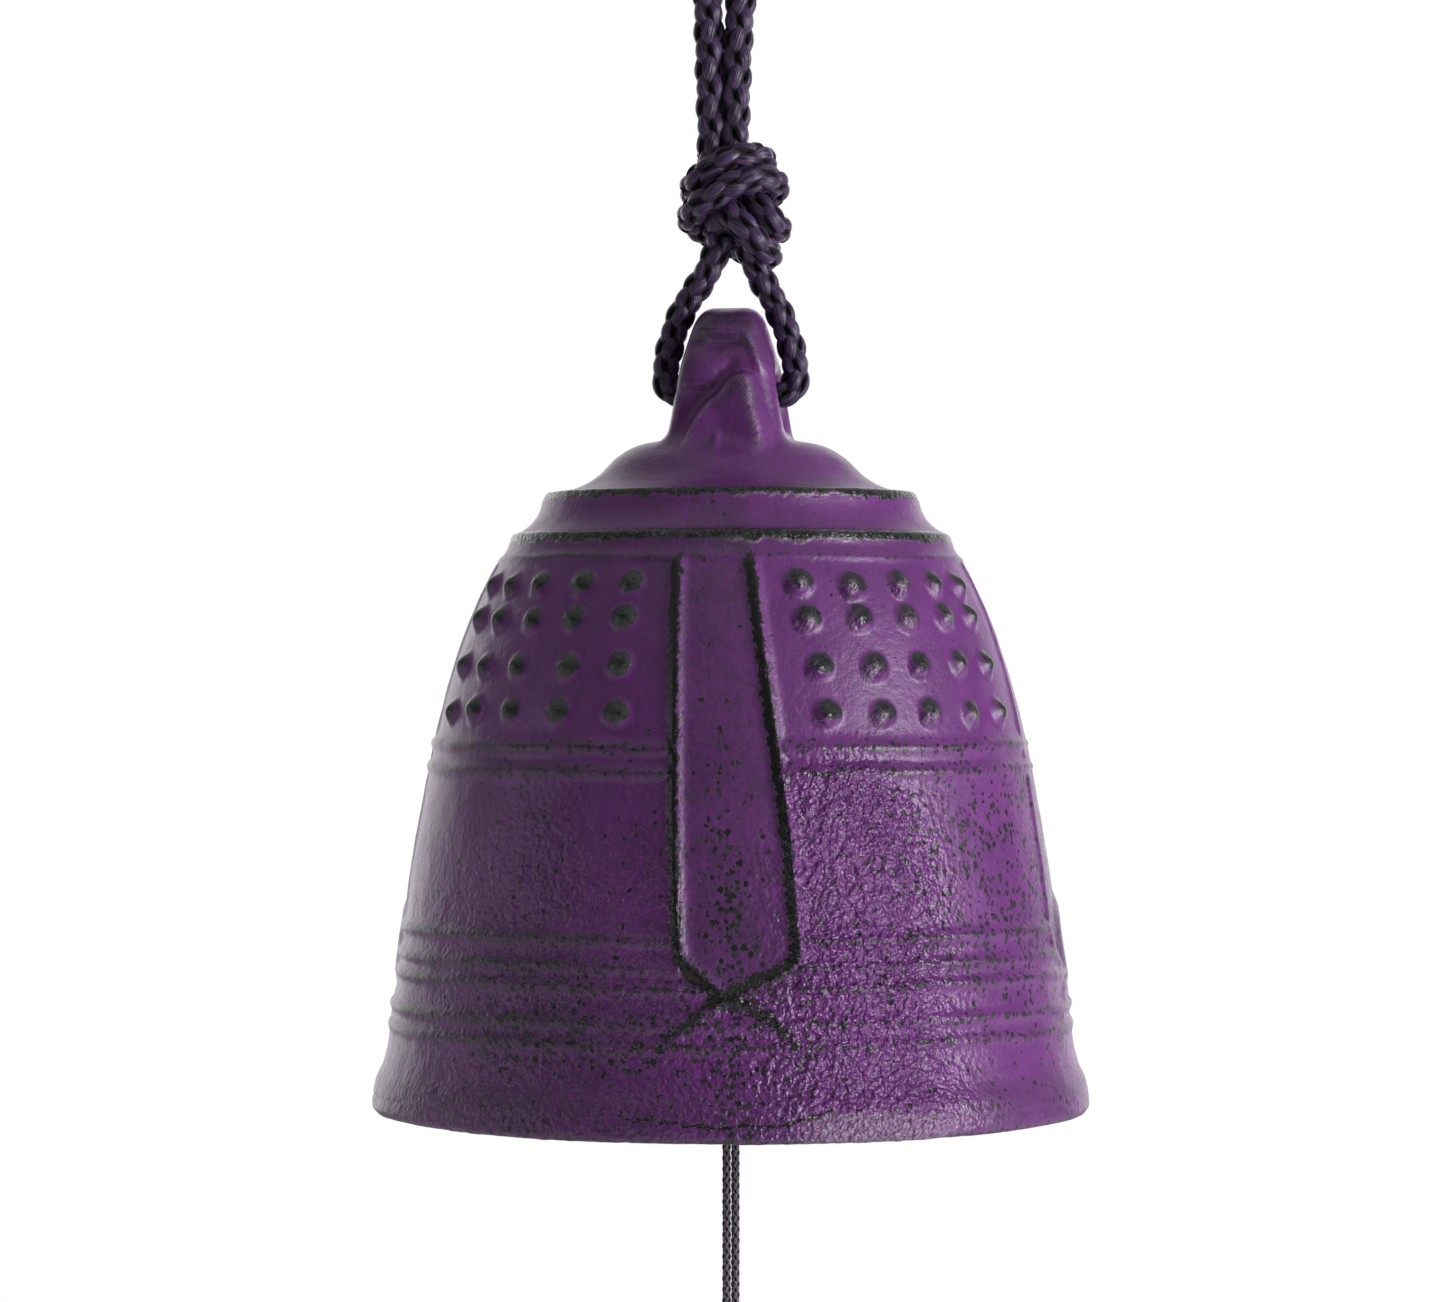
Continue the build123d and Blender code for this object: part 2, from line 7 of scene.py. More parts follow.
import bpy
import numpy as np
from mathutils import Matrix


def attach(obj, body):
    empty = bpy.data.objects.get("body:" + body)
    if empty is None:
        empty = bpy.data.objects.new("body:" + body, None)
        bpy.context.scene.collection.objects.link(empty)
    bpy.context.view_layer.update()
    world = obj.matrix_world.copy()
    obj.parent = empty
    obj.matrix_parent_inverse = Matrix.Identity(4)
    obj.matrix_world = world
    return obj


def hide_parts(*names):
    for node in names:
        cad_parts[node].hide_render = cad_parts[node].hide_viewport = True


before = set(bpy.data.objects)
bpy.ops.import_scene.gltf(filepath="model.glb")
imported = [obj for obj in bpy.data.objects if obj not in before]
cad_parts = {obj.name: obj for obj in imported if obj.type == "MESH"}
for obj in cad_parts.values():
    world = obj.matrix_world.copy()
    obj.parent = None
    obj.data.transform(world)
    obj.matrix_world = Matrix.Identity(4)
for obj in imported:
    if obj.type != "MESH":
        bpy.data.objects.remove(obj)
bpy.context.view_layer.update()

MM = 0.001
HANG = 109.8


def place(points):
    """Points in millimetres above the rim's plane, as metres in the row frame."""
    return (np.asarray(points, float) - (0, 0, HANG)) * MM


def smooth_step(low, high, value):
    """0 below low, 1 above high, with a smooth ramp between."""
    t = np.clip((value - low) / (high - low), 0, 1)
    return t * t * (3 - 2 * t)


def smooth_max(a, b, width):
    """The larger of two fields, rounded where they are within width of each other."""
    t = np.clip(0.5 + 0.5 * (a - b) / width, 0, 1)
    return b + (a - b) * t + width * t * (1 - t)


def smooth_min(a, b, width):
    return -smooth_max(-a, -b, width)


def lattice_noise(points, size, seed):
    """Smooth noise from -1 to 1, with lumps of about that size in millimetres."""
    p = np.asarray(points, float) / size
    cell = np.floor(p).astype(np.int64)
    f = p - cell
    f = f * f * f * (f * (f * 6 - 15) + 10)
    total = np.zeros(len(p))
    for corner in range(8):
        step = np.array([corner & 1, corner >> 1 & 1, corner >> 2 & 1])
        at = cell + step
        h = (at[:, 0] * 374761393 + at[:, 1] * 668265263 + at[:, 2] * 2147483647 + seed * 974634777) & 0xFFFFFFFF
        h = ((h ^ (h >> 13)) * 1274126177) & 0xFFFFFFFF
        h = ((h ^ (h >> 16)) * 2246822519) & 0xFFFFFFFF
        value = ((h ^ (h >> 15)) & 0xFFFF) / 32767.5 - 1
        total += value * np.prod(np.where(step == 1, f, 1 - f), axis=1)
    return total


# Meshes
def make_piece(name, shape, materials, body, replaces=(), kinds=None):
    """A smooth mesh piece from (points in millimetres, quads, attributes), riding on a body."""
    points, faces, attributes = shape
    faces = np.asarray(faces, np.int32)
    mesh = bpy.data.meshes.new(name)
    mesh.vertices.add(len(points))
    mesh.vertices.foreach_set("co", place(points).astype(np.float32).ravel())
    mesh.loops.add(faces.size)
    mesh.loops.foreach_set("vertex_index", faces.ravel())
    mesh.polygons.add(len(faces))
    mesh.polygons.foreach_set("loop_start", np.arange(0, faces.size, 4, dtype=np.int32))
    mesh.update(calc_edges=True)
    mesh.polygons.foreach_set("use_smooth", np.ones(len(faces), bool))
    if kinds is not None:
        mesh.polygons.foreach_set("material_index", np.asarray(kinds, np.int32))
    for key, values in attributes.items():
        mesh.attributes.new(key, "FLOAT", "POINT").data.foreach_set("value", np.asarray(values, np.float32))
    for material in materials:
        mesh.materials.append(material)
    mesh.validate()
    piece = bpy.data.objects.new(name, mesh)
    bpy.context.scene.collection.objects.link(piece)
    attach(piece, body)
    if replaces:
        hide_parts(*replaces)
    return piece


def grid_faces(rows, columns):
    """Quads of a grid whose columns close on themselves, facing out where rows run on and columns turn left."""
    row, column = np.meshgrid(np.arange(rows - 1), np.arange(columns), indexing="ij")
    after = (column + 1) % columns
    return np.stack(
        [(row + 1) * columns + column, (row + 1) * columns + after, row * columns + after, row * columns + column], -1
    ).reshape(-1, 4)


def end_faces(first, count):
    """Quads across a ring of an even count of points that starts at that index."""
    k = np.arange(count // 2 - 1)
    return first + np.stack([(count - k) % count, k + 1, k + 2, count - 1 - k], 1)


def even_line(points, step):
    """A polyline's points again, evenly spaced about step apart."""
    points = np.asarray(points, float)
    reach = np.concatenate([[0], np.cumsum(np.linalg.norm(np.diff(points, axis=0), axis=1))])
    count = max(int(round(reach[-1] / step)), 2) + 1
    at = np.linspace(0, reach[-1], count)
    return np.stack([np.interp(at, reach, points[:, k]) for k in range(points.shape[1])], 1)


def soften(points, width, step=0.05):
    """An even polyline with its corners rounded by about width, its ends kept."""
    line = even_line(points, step)
    half = int(4 * width / step)
    weights = np.exp(-0.5 * (np.arange(-half, half + 1) * step / width) ** 2)
    weights /= weights.sum()
    padded = np.concatenate([2 * line[0] - line[half:0:-1], line, 2 * line[-1] - line[-2 : -half - 2 : -1]])
    return np.stack([np.convolve(padded[:, k], weights, "valid") for k in range(2)], 1)


def lathe(profile, columns):
    """A closed surface turned about Z from a profile of (radius, height) that starts and ends close to the axis."""
    turns = np.linspace(0, 2 * pi, columns, endpoint=False)
    r, h = profile[:, 0][:, None], profile[:, 1][:, None]
    points = np.stack([r * np.sin(turns), -r * np.cos(turns), h + 0 * turns], -1).reshape(-1, 3)
    faces = [grid_faces(len(profile), columns), end_faces(0, columns)]
    faces.append(end_faces((len(profile) - 1) * columns, columns)[:, ::-1])
    return points, np.concatenate(faces), {}


def tube(line, radius, start, sides=12):
    """A round wire along a line."""
    _, across, up = carried_frames(line, start)
    ring = np.linspace(0, 2 * pi, sides, endpoint=False)
    points = line[:, None] + radius * (np.cos(ring)[None, :, None] * across[:, None] + np.sin(ring)[None, :, None] * up[:, None])
    faces = [grid_faces(len(line), sides), end_faces(0, sides), end_faces((len(line) - 1) * sides, sides)[:, ::-1]]
    return points.reshape(-1, 3), np.concatenate(faces), {}


def ring_faces(rows, columns):
    """Quads of a grid whose columns and rows both close on themselves."""
    return grid_faces(rows + 1, columns) % (rows * columns)


# Cords
def route_line(controls):
    """Points read from the smooth line through a route's control points."""
    curve = bpy.data.curves.new("route", "CURVE")
    curve.dimensions = "3D"
    curve.resolution_u = 48
    spline = curve.splines.new("NURBS")
    spline.points.add(len(controls) - 1)
    for point, control in zip(spline.points, controls):
        point.co = (*control, 1)
    spline.order_u = 3
    spline.use_endpoint_u = True
    route = bpy.data.objects.new("route", curve)
    mesh = bpy.data.meshes.new_from_object(route)
    line = np.array([v.co[:] for v in mesh.vertices])
    bpy.data.objects.remove(route)
    bpy.data.curves.remove(curve)
    bpy.data.meshes.remove(mesh)
    return line


def carried_frames(line, start):
    """Tangents, and two cross directions carried along the line without twist."""
    tangents = np.gradient(line, axis=0)
    tangents /= np.linalg.norm(tangents, axis=1)[:, None]
    across = np.empty_like(line)
    side = np.asarray(start, float)
    for k, t in enumerate(tangents):
        side = side - t * (side @ t)
        side /= np.linalg.norm(side)
        across[k] = side
    return tangents, across, np.cross(tangents, across)


def braid(line, radius, start=(0, 1, 0), sides=10, step_share=0.15, phase=0.0):
    """Eight yarns plaited over and under each other round a core, with their fibres' coordinates."""
    pitch = 10.2 * radius
    line = even_line(line, step_share * radius)
    _, across, up = carried_frames(line, start)
    reach = np.arange(len(line)) * np.linalg.norm(line[1] - line[0])
    wave = 2 * pi * reach / pitch + phase
    ring = np.linspace(0, 2 * pi, sides, endpoint=False)
    rows = len(line)
    tube_faces = np.concatenate([
        grid_faces(rows, sides), end_faces(0, sides), end_faces((rows - 1) * sides, sides)[:, ::-1]
    ])
    core = 0.66 * radius * (np.cos(ring)[None, :, None] * across[:, None] + np.sin(ring)[None, :, None] * up[:, None])
    points, fibres, yarns, crests = [(line[:, None] + core).reshape(-1, 3)], [0 * ring.repeat(rows)], [8.0], [-np.ones(rows)]
    edge = np.tile(np.abs(np.cos(ring)), rows)
    for yarn in range(8):
        hand = 1 if yarn < 4 else -1
        crest = hand * np.cos(4 * wave)
        turn = pi / 2 * (yarn % 4) + hand * wave - 0.16 * np.sin(4 * wave)
        out = np.cos(turn)[:, None] * across + np.sin(turn)[:, None] * up
        centre = line + (radius * (0.71 + 0.12 * crest))[:, None] * out
        along = np.gradient(centre, axis=0)
        along /= np.linalg.norm(along, axis=1)[:, None]
        outward = out - along * np.sum(out * along, 1)[:, None]
        outward /= np.linalg.norm(outward, axis=1)[:, None]
        wide, thick = radius * (0.46 + 0.07 * crest), radius * (0.21 + 0.05 * crest)
        hug = 0.28 / radius * (wide[:, None] * np.cos(ring)) ** 2
        shell = (
            centre[:, None]
            + (wide[:, None] * np.cos(ring))[..., None] * np.cross(along, outward)[:, None]
            + (thick[:, None] * np.sin(ring) - hug)[..., None] * outward[:, None]
        )
        points.append(shell.reshape(-1, 3))
        fibres.append((wide[:, None] * np.cos(ring)).ravel())
        yarns.append(float(yarn))
        crests.append(crest)
    # crest and edge also place the painted shade in the yarn material; the core, at crest -1, is painted in full
    # shade.
    attributes = {
        "fibre": np.concatenate(fibres),
        "run": np.tile(reach.repeat(sides), 9),
        "yarn": np.repeat(yarns, rows * sides),
        "crest": np.concatenate(crests).repeat(sides),
        "edge": np.tile(edge, 9),
    }
    faces = np.concatenate([tube_faces + k * rows * sides for k in range(9)])
    return np.concatenate(points), faces, attributes


def join_parts(*parts):
    """Several (points, faces, attributes) as one."""
    base, points, faces, attributes = 0, [], [], {}
    for p, f, a in parts:
        points.append(p)
        faces.append(f + base)
        base += len(p)
        for key, values in a.items():
            attributes.setdefault(key, []).append(values)
    return np.concatenate(points), np.concatenate(faces), {k: np.concatenate(v) for k, v in attributes.items()}


# Materials
def new_material(name):
    material = bpy.data.materials.new(name)
    material.use_nodes = True
    nodes = material.node_tree.nodes
    return material, nodes, material.node_tree.links, nodes["Principled BSDF"]


class Graph:
    """Short ways to add shader nodes to one material."""

    def __init__(self, name):
        self.material, self.nodes, self.links, self.shader = new_material(name)

    def add(self, kind, **settings):
        node = self.nodes.new(kind)
        for key, value in settings.items():
            setattr(node, key, value)
        return node

    def feed(self, socket, value):
        if isinstance(value, bpy.types.NodeSocket):
            self.links.new(value, socket)
        else:
            socket.default_value = value

    def attribute(self, name):
        return self.add("ShaderNodeAttribute", attribute_name=name).outputs["Fac"]

    def position(self):
        return self.add("ShaderNodeTexCoord").outputs["Object"]

    def noise(self, size_mm, detail=3.0, rough=0.55, vector=None, distortion=0.0):
        node = self.add("ShaderNodeTexNoise")
        self.feed(node.inputs["Vector"], vector or self.position())
        node.inputs["Scale"].default_value = 1 / (size_mm * MM)
        node.inputs["Detail"].default_value = detail
        node.inputs["Roughness"].default_value = rough
        node.inputs["Distortion"].default_value = distortion
        return node.outputs["Fac"]

    def math(self, kind, a, b=0.0, c=0.0):
        node = self.add("ShaderNodeMath", operation=kind)
        for socket, value in zip(node.inputs, (a, b, c)):
            self.feed(socket, value)
        return node.outputs[0]

    def ramp(self, value, low, high, out_low=0.0, out_high=1.0):
        node = self.add("ShaderNodeMapRange", interpolation_type="SMOOTHSTEP")
        for key, v in (("Value", value), ("From Min", low), ("From Max", high), ("To Min", out_low), ("To Max", out_high)):
            self.feed(node.inputs[key], v)
        return node.outputs["Result"]

    def mix(self, share, a, b):
        node = self.add("ShaderNodeMix", data_type="RGBA")
        self.feed(node.inputs["Factor"], share)
        colours = [s for s in node.inputs if s.type == "RGBA"]
        for socket, value in zip(colours, (a, b)):
            self.feed(socket, value if isinstance(value, bpy.types.NodeSocket) else (*value, 1))
        return [s for s in node.outputs if s.type == "RGBA"][0]

    def bump(self, height, strength, distance_mm, normal=None):
        node = self.add("ShaderNodeBump")
        node.inputs["Strength"].default_value = strength
        node.inputs["Distance"].default_value = distance_mm * MM
        self.feed(node.inputs["Height"], height)
        if normal is not None:
            self.feed(node.inputs["Normal"], normal)
        return node.outputs["Normal"]


def bell_paint():
    """Purple paint over black cast iron, rubbed through on the raised work, with painted shade and painted highlights
    in its colour.
    """
    g = Graph("bell_paint")
    rub, bare, coarse, speck, filed_and_glint, smudge_and_shade, matt = (
        g.attribute(n) for n in ("rub", "bare", "coarse", "speck", "filed_and_glint", "smudge_and_shade", "matt")
    )
    fine = g.noise(0.17, 2.0, 0.6)
    grain = g.noise(0.46, 2.5, 0.6)
    lumps = g.noise(1.2, 2.0, 0.5)
    pebble = g.noise(0.52, 1.0, 0.5)
    blotch = g.noise(4.5, 4.0, 0.55)
    ragged = g.noise(0.55, 4.0, 0.7)
    torn = g.math("MULTIPLY", g.math("SUBTRACT", ragged, 0.5), 3.0)

    purple = g.mix(g.ramp(blotch, 0.35, 0.65), (0.098, 0.0170, 0.126), (0.122, 0.0220, 0.153))
    purple = g.mix(g.ramp(grain, 0.52, 0.70, 0.0, 0.4), purple, (0.150, 0.036, 0.178))
    # Darker in the low pits of the peel, where its bump is strong: painted shade in the pits.
    purple = g.mix(g.math("MULTIPLY", g.ramp(grain, 0.46, 0.32), coarse), purple, (0.060, 0.0085, 0.082))
    charcoal = g.mix(g.ramp(fine, 0.4, 0.6), (0.012, 0.014, 0.0145), (0.025, 0.028, 0.028))
    # Charcoal smudge together with painted shade, broken up by noise.
    smudge_and_shade_share = g.math("MULTIPLY", smudge_and_shade, g.ramp(g.math("ADD", lumps, g.math("MULTIPLY", torn, 0.5)), 0.2, 0.8, 0.3, 1.0))
    colour = g.mix(smudge_and_shade_share, purple, charcoal)
    rub_share = g.ramp(g.math("ADD", rub, g.math("MULTIPLY", torn, 0.75)), 0.42, 0.66)
    colour = g.mix(rub_share, colour, charcoal)
    bare_share = g.ramp(g.math("ADD", bare, g.math("MULTIPLY", torn, 0.95)), 0.46, 0.58)
    colour = g.mix(bare_share, colour, (0.0035, 0.0035, 0.004))

    warp = g.add("ShaderNodeTexNoise")
    g.feed(warp.inputs["Vector"], g.position())
    warp.inputs["Scale"].default_value = 1 / (0.26 * MM)
    warped = g.add("ShaderNodeVectorMath", operation="MULTIPLY_ADD")
    g.feed(warped.inputs[0], warp.outputs["Color"])
    warped.inputs[1].default_value = (0.46 * MM, 0.46 * MM, 0.46 * MM)
    g.feed(warped.inputs[2], g.position())
    cells = g.add("ShaderNodeTexVoronoi", feature="F1")
    g.feed(cells.inputs["Vector"], warped.outputs["Vector"])
    cells.inputs["Scale"].default_value = 1 / (0.50 * MM)
    chance = g.add("ShaderNodeSeparateColor")
    g.feed(chance.inputs[0], cells.outputs["Color"])
    size = g.math("MULTIPLY_ADD", speck, 0.22, g.ramp(chance.outputs["Green"], 0.0, 1.0, 0.16, 0.42))
    gap = g.math("SUBTRACT", size, g.math("ADD", cells.outputs["Distance"], g.math("MULTIPLY", torn, 0.34)))
    dots = g.math("MULTIPLY", g.ramp(gap, -0.03, 0.05), g.math("LESS_THAN", chance.outputs["Red"], speck))
    colour = g.mix(dots, colour, g.mix(g.ramp(chance.outputs["Blue"], 0.3, 0.7), (0.005, 0.005, 0.006), (0.016, 0.017, 0.018)))
    # Silver of the filed iron in slanting file marks at the rim; the same silver also paints highlights, the glints on
    # the ring lips and bosses and the light lines on the lug.
    slant = g.add("ShaderNodeMapping", vector_type="TEXTURE")
    g.feed(slant.inputs["Vector"], g.position())
    slant.inputs["Rotation"].default_value = (0, 0.7, 0)
    slant.inputs["Scale"].default_value = (1, 1, 10)
    marks = g.noise(0.14, 2.0, 0.6, slant.outputs["Vector"])
    colour = g.mix(g.math("MULTIPLY", filed_and_glint, g.ramp(marks, 0.35, 0.65, 0.05, 0.80)), colour, (0.27, 0.20, 0.28))
    g.feed(g.shader.inputs["Base Color"], colour)

    iron = g.math("MAXIMUM", rub_share, bare_share)
    satin = g.math("ADD", g.ramp(coarse, 0.15, 0.85, 0.40, 0.15), g.ramp(fine, 0.3, 0.7, -0.04, 0.05))
    satin = g.math("ADD", satin, g.math("MULTIPLY", matt, 0.32))
    g.feed(g.shader.inputs["Roughness"], g.math("SUBTRACT", satin, g.math("MULTIPLY", iron, 0.06)))
    g.shader.inputs["Specular IOR Level"].default_value = 0.50
    peel = g.math("ADD", g.math("MULTIPLY", lumps, 0.35), g.math("MULTIPLY", grain, 1.0))
    peel = g.math("ADD", peel, g.math("MULTIPLY", pebble, 1.7))
    peel = g.math("SUBTRACT", g.math("MULTIPLY", peel, g.ramp(coarse, 0.05, 1.0, 0.06, 1.0)), g.math("MULTIPLY", dots, 0.35))
    peel = g.math("ADD", peel, g.math("MULTIPLY", g.math("MULTIPLY", filed_and_glint, marks), 0.3))
    normal = g.bump(g.math("SUBTRACT", peel, g.math("MULTIPLY", bare_share, 0.2)), 1.0, 0.32)
    g.feed(g.shader.inputs["Normal"], g.bump(fine, 0.6, 0.035, normal))
    return g.material


def inner_iron():
    """Bare black casting."""
    g = Graph("black_iron")
    fine, lumps = g.noise(0.5, 4.0, 0.6), g.noise(3.0, 4.0, 0.6)
    colour = g.mix(g.ramp(lumps, 0.35, 0.65), (0.012, 0.011, 0.012), (0.030, 0.027, 0.028))
    g.feed(g.shader.inputs["Base Color"], colour)
    g.feed(g.shader.inputs["Roughness"], g.ramp(fine, 0.3, 0.7, 0.5, 0.68))
    g.shader.inputs["Specular IOR Level"].default_value = 0.4
    g.feed(g.shader.inputs["Normal"], g.bump(g.math("ADD", fine, lumps), 0.6, 0.2))
    return g.material


def cord_yarn(name, dark, light, fibre_mm, sheen):
    """Glossy spun yarn: fine filaments along each strand, with painted shade where it dives under the others and along
    its edges.
    """
    g = Graph(name)
    spread = g.add("ShaderNodeCombineXYZ")
    g.feed(spread.inputs["X"], g.math("DIVIDE", g.attribute("fibre"), fibre_mm))
    g.feed(spread.inputs["Y"], g.math("DIVIDE", g.attribute("run"), 14 * fibre_mm))
    g.feed(spread.inputs["Z"], g.math("MULTIPLY", g.attribute("yarn"), 7.3))
    threads = g.add("ShaderNodeTexNoise")
    g.feed(threads.inputs["Vector"], spread.outputs["Vector"])
    threads.inputs["Scale"].default_value = 1.0
    threads.inputs["Detail"].default_value = 2.0
    hair = threads.outputs["Fac"]
    colour = g.mix(g.ramp(hair, 0.3, 0.7), dark, light)
    # Painted shade in the gaps of the braid: dark where a yarn dives under the others and towards its edges.
    shade = g.math("MULTIPLY", g.ramp(g.attribute("crest"), -0.60, 0.25), g.ramp(g.attribute("edge"), 0.97, 0.68))
    colour = g.mix(shade, tuple(0.12 * c for c in dark), colour)
    g.feed(g.shader.inputs["Base Color"], colour)
    g.feed(g.shader.inputs["Roughness"], g.ramp(shade, 0.2, 0.9, 0.95, 0.36))
    g.shader.inputs["Specular IOR Level"].default_value = 0.42
    g.shader.inputs["Sheen Weight"].default_value = sheen
    g.shader.inputs["Sheen Roughness"].default_value = 0.35
    g.shader.inputs["Sheen Tint"].default_value = (0.60, 0.44, 0.76, 1)
    g.feed(g.shader.inputs["Normal"], g.bump(hair, 0.7, 1.3 * fibre_mm))
    return g.material


def steel_wire():
    """Dull drawn wire."""
    g = Graph("dull_wire")
    streak = g.noise(0.4, 4.0, 0.6)
    g.feed(g.shader.inputs["Base Color"], g.mix(g.ramp(streak, 0.35, 0.65), (0.16, 0.15, 0.145), (0.30, 0.285, 0.27)))
    g.shader.inputs["Metallic"].default_value = 1.0
    g.feed(g.shader.inputs["Roughness"], g.ramp(streak, 0.3, 0.7, 0.34, 0.52))
    g.feed(g.shader.inputs["Normal"], g.bump(streak, 0.3, 0.06))
    return g.material


def laid_paper():
    """Handmade paper: long pale fibres in a cream sheet."""
    g = Graph("laid_paper")
    stretch = g.add("ShaderNodeMapping")
    g.feed(stretch.inputs["Vector"], g.position())
    stretch.inputs["Rotation"].default_value = (0, 0.5, 0)
    stretch.inputs["Scale"].default_value = (1, 1, 0.12)
    fibres = g.noise(0.8, 3.0, 0.6, stretch.outputs["Vector"], 1.2)
    cloud = g.noise(9.0, 4.0, 0.6)
    colour = g.mix(g.ramp(cloud, 0.3, 0.7), (0.66, 0.60, 0.50), (0.74, 0.69, 0.60))
    colour = g.mix(g.ramp(fibres, 0.60, 0.68, 0.0, 0.55), colour, (0.84, 0.81, 0.75))
    colour = g.mix(g.ramp(fibres, 0.30, 0.36, 0.35, 0.0), colour, (0.52, 0.45, 0.36))
    g.feed(g.shader.inputs["Base Color"], colour)
    g.shader.inputs["Roughness"].default_value = 0.82
    g.shader.inputs["Specular IOR Level"].default_value = 0.25
    g.feed(g.shader.inputs["Normal"], g.bump(fibres, 0.10, 0.03))
    return g.material


PAINT = bell_paint()
IRON = inner_iron()
HANGER_YARN = cord_yarn("hanger_yarn", (0.012, 0.005, 0.021), (0.072, 0.037, 0.108), 0.13, 0.08)
THREAD_YARN = cord_yarn("thread_yarn", (0.050, 0.036, 0.058), (0.150, 0.120, 0.162), 0.035, 0.12)
WIRE = steel_wire()
PAPER = laid_paper()

# Hanging loop, from the knot up round the hanging point and back
CORD_RADIUS = 1.15
RUN_X, SPLIT_X, LOOP_X = 1.2, 1.64, 2.75
RUN_FOOT, RUN_SPLIT, RUN_NEAR_TOP, LOOP_TOP = 77.6, 91.5, 97.1, 110.95
LOOP_ROUTE = [
    (-1.50, 0, RUN_FOOT), (-1.66, 0, 84.0), (-1.88, 0, RUN_SPLIT), (-2.1, 0, RUN_NEAR_TOP), (-LOOP_X, 0, LOOP_TOP),
    (LOOP_X, 0, LOOP_TOP), (1.3, 0, RUN_NEAR_TOP), (0.66, 0, RUN_SPLIT), (0.34, 0, 84.0), (0.20, 0, RUN_FOOT),
]
loop_line = route_line(LOOP_ROUTE)
loop_piece = make_piece(
    "hanging_loop_braid", braid(loop_line, 1.08 * CORD_RADIUS), [HANGER_YARN], "hanger", ["hanging_loop"]
)

# Hanger knot: the doubled cord tied in an overhand knot
KNOT_HEIGHT = 75.4
KNOT_ROUTE = [
    (-0.7, 0.3, 4.8), (-0.5, 0.5, 3.3), (0.0, 0.0, 1.5), (0.9, -2.1, 0.2), (2.7, -2.9, -1.9), (3.9, -0.3, -2.9), (2.6, 2.8, -2.7),
    (-0.8, 3.3, -1.2), (-3.2, 1.9, 0.1), (-3.3, -1.1, 0.6), (-2.1, -3.2, 1.6), (0.4, -3.5, 3.0), (3.0, -2.3, 3.4),
    (3.5, 0.8, 2.7), (1.2, 2.0, 1.0), (0.0, 0.9, -0.6), (0.0, 0.2, -2.0),
]
KNOT_OUTWARD = [
    (0, -1, 0), (0, -1, 0), (0, -1, 0.1), (0.3, -1, 0.1), (0.7, -0.8, -0.2), (1, 0, -0.35), (0.7, 0.8, -0.3), (-0.2, 1, -0.1),
    (-0.9, 0.5, 0.1), (-1, -0.3, 0.1), (-0.6, -0.8, 0.2), (0.1, -0.9, 0.4), (0.7, -0.5, 0.5), (0.9, 0.3, 0.4), (0.3, 1, 0.1),
    (0, 1, 0), (0, 1, 0),
]
PAIR_HALF = 1.14
pair_line = route_line([(x, y, KNOT_HEIGHT + z) for x, y, z in KNOT_ROUTE])
pair_out = route_line(KNOT_OUTWARD)
pair_along = np.gradient(pair_line, axis=0)
pair_side = np.cross(pair_along, pair_out)
pair_side /= np.linalg.norm(pair_side, axis=1)[:, None]
knot_parts = [braid(pair_line + side * PAIR_HALF * pair_side, CORD_RADIUS, (1, 0, 0), phase=side) for side in (-1, 1)]
knot_parts.append(braid(route_line([(0, 0.2, KNOT_HEIGHT + z) for z in (3.0, 1.2, -0.6, -2.2)]), 2.5))
knot_piece = make_piece(
    "hanger_knot_braid", join_parts(*knot_parts), [HANGER_YARN], "hanger", ["hanger_knot"]
)

# Lug loop: the two legs and their pass under the lug's bar
LEG_TOP, LEG_MID, LEG_PASS = 73.2, 64.9, 59.8
LEG_ROUTE = [
    (-0.8, -0.6, LEG_TOP), (-1.45, -0.5, 70.6), (-3.75, 0, 67.6), (-4.9, 0, LEG_MID), (-5.65, 0, 61.4), (-5.0, 0, LEG_PASS),
    (-2.5, 0, LEG_PASS), (2.5, 0, LEG_PASS), (5.0, 0, LEG_PASS), (5.6, 0, 61.4), (4.85, 0, LEG_MID), (3.6, -0.2, 67.8),
    (1.9, -0.5, 70.6), (1.2, -0.6, LEG_TOP),
]
leg_line = route_line(LEG_ROUTE)
leg_piece = make_piece(
    "lug_loop_braid", braid(leg_line, CORD_RADIUS, phase=0.6), [HANGER_YARN], "hanger", ["lug_loop"]
)

# Clapper cord and strip cord: two fine braids side by side
THREAD_RADIUS, THREAD_X = 0.36, 0.37
STRETCHES = {
    "clapper_cord": ("clapper", 40.8, 3.1, "object"),
    "strip_cord": ("strip_cord", 0.4, -33.6, "knot"),
}
for node, (body, top, foot, far_end) in STRETCHES.items():
    for hand, x in (("left", -THREAD_X), ("right", THREAD_X)):
        line = route_line([(x, 0, top), (x, 0, (2 * top + foot) / 3), (x, 0, (top + 2 * foot) / 3), (x, 0, foot)])
        strand = braid(line, THREAD_RADIUS, sides=6, step_share=0.3, phase=0.4 + x)
        piece = make_piece(f"{node}_{hand}", strand, [THREAD_YARN], body, [node])

# Small knots: a trefoil of the same thread, facing the front
def small_knot(height, radius, turn):
    t = np.linspace(0, 2 * pi, 31)[:-1]
    thread = 0.44
    reach = (radius - thread) / 3
    flat = np.stack([(2 + np.cos(3 * t)) * np.cos(2 * t + turn), 1.1 * np.sin(3 * t), (2 + np.cos(3 * t)) * np.sin(2 * t + turn)], 1)
    line = route_line(np.concatenate([flat, flat[:2]]) * reach + (0, 0, height))
    return braid(line, thread, (0, 0, 1), sides=6, step_share=0.25)


make_piece("eye_knot_tied", small_knot(42.0, 1.5, 0.3), [THREAD_YARN], "eye_knot", ["eye_knot"])
make_piece("clapper_knot_tied", small_knot(1.775, 1.65, 1.1), [THREAD_YARN], "clapper", ["clapper_knot"])
make_piece("strip_knot_tied", small_knot(-35.0, 1.5, 0.7), [THREAD_YARN], "strip_knot", ["strip_knot"])

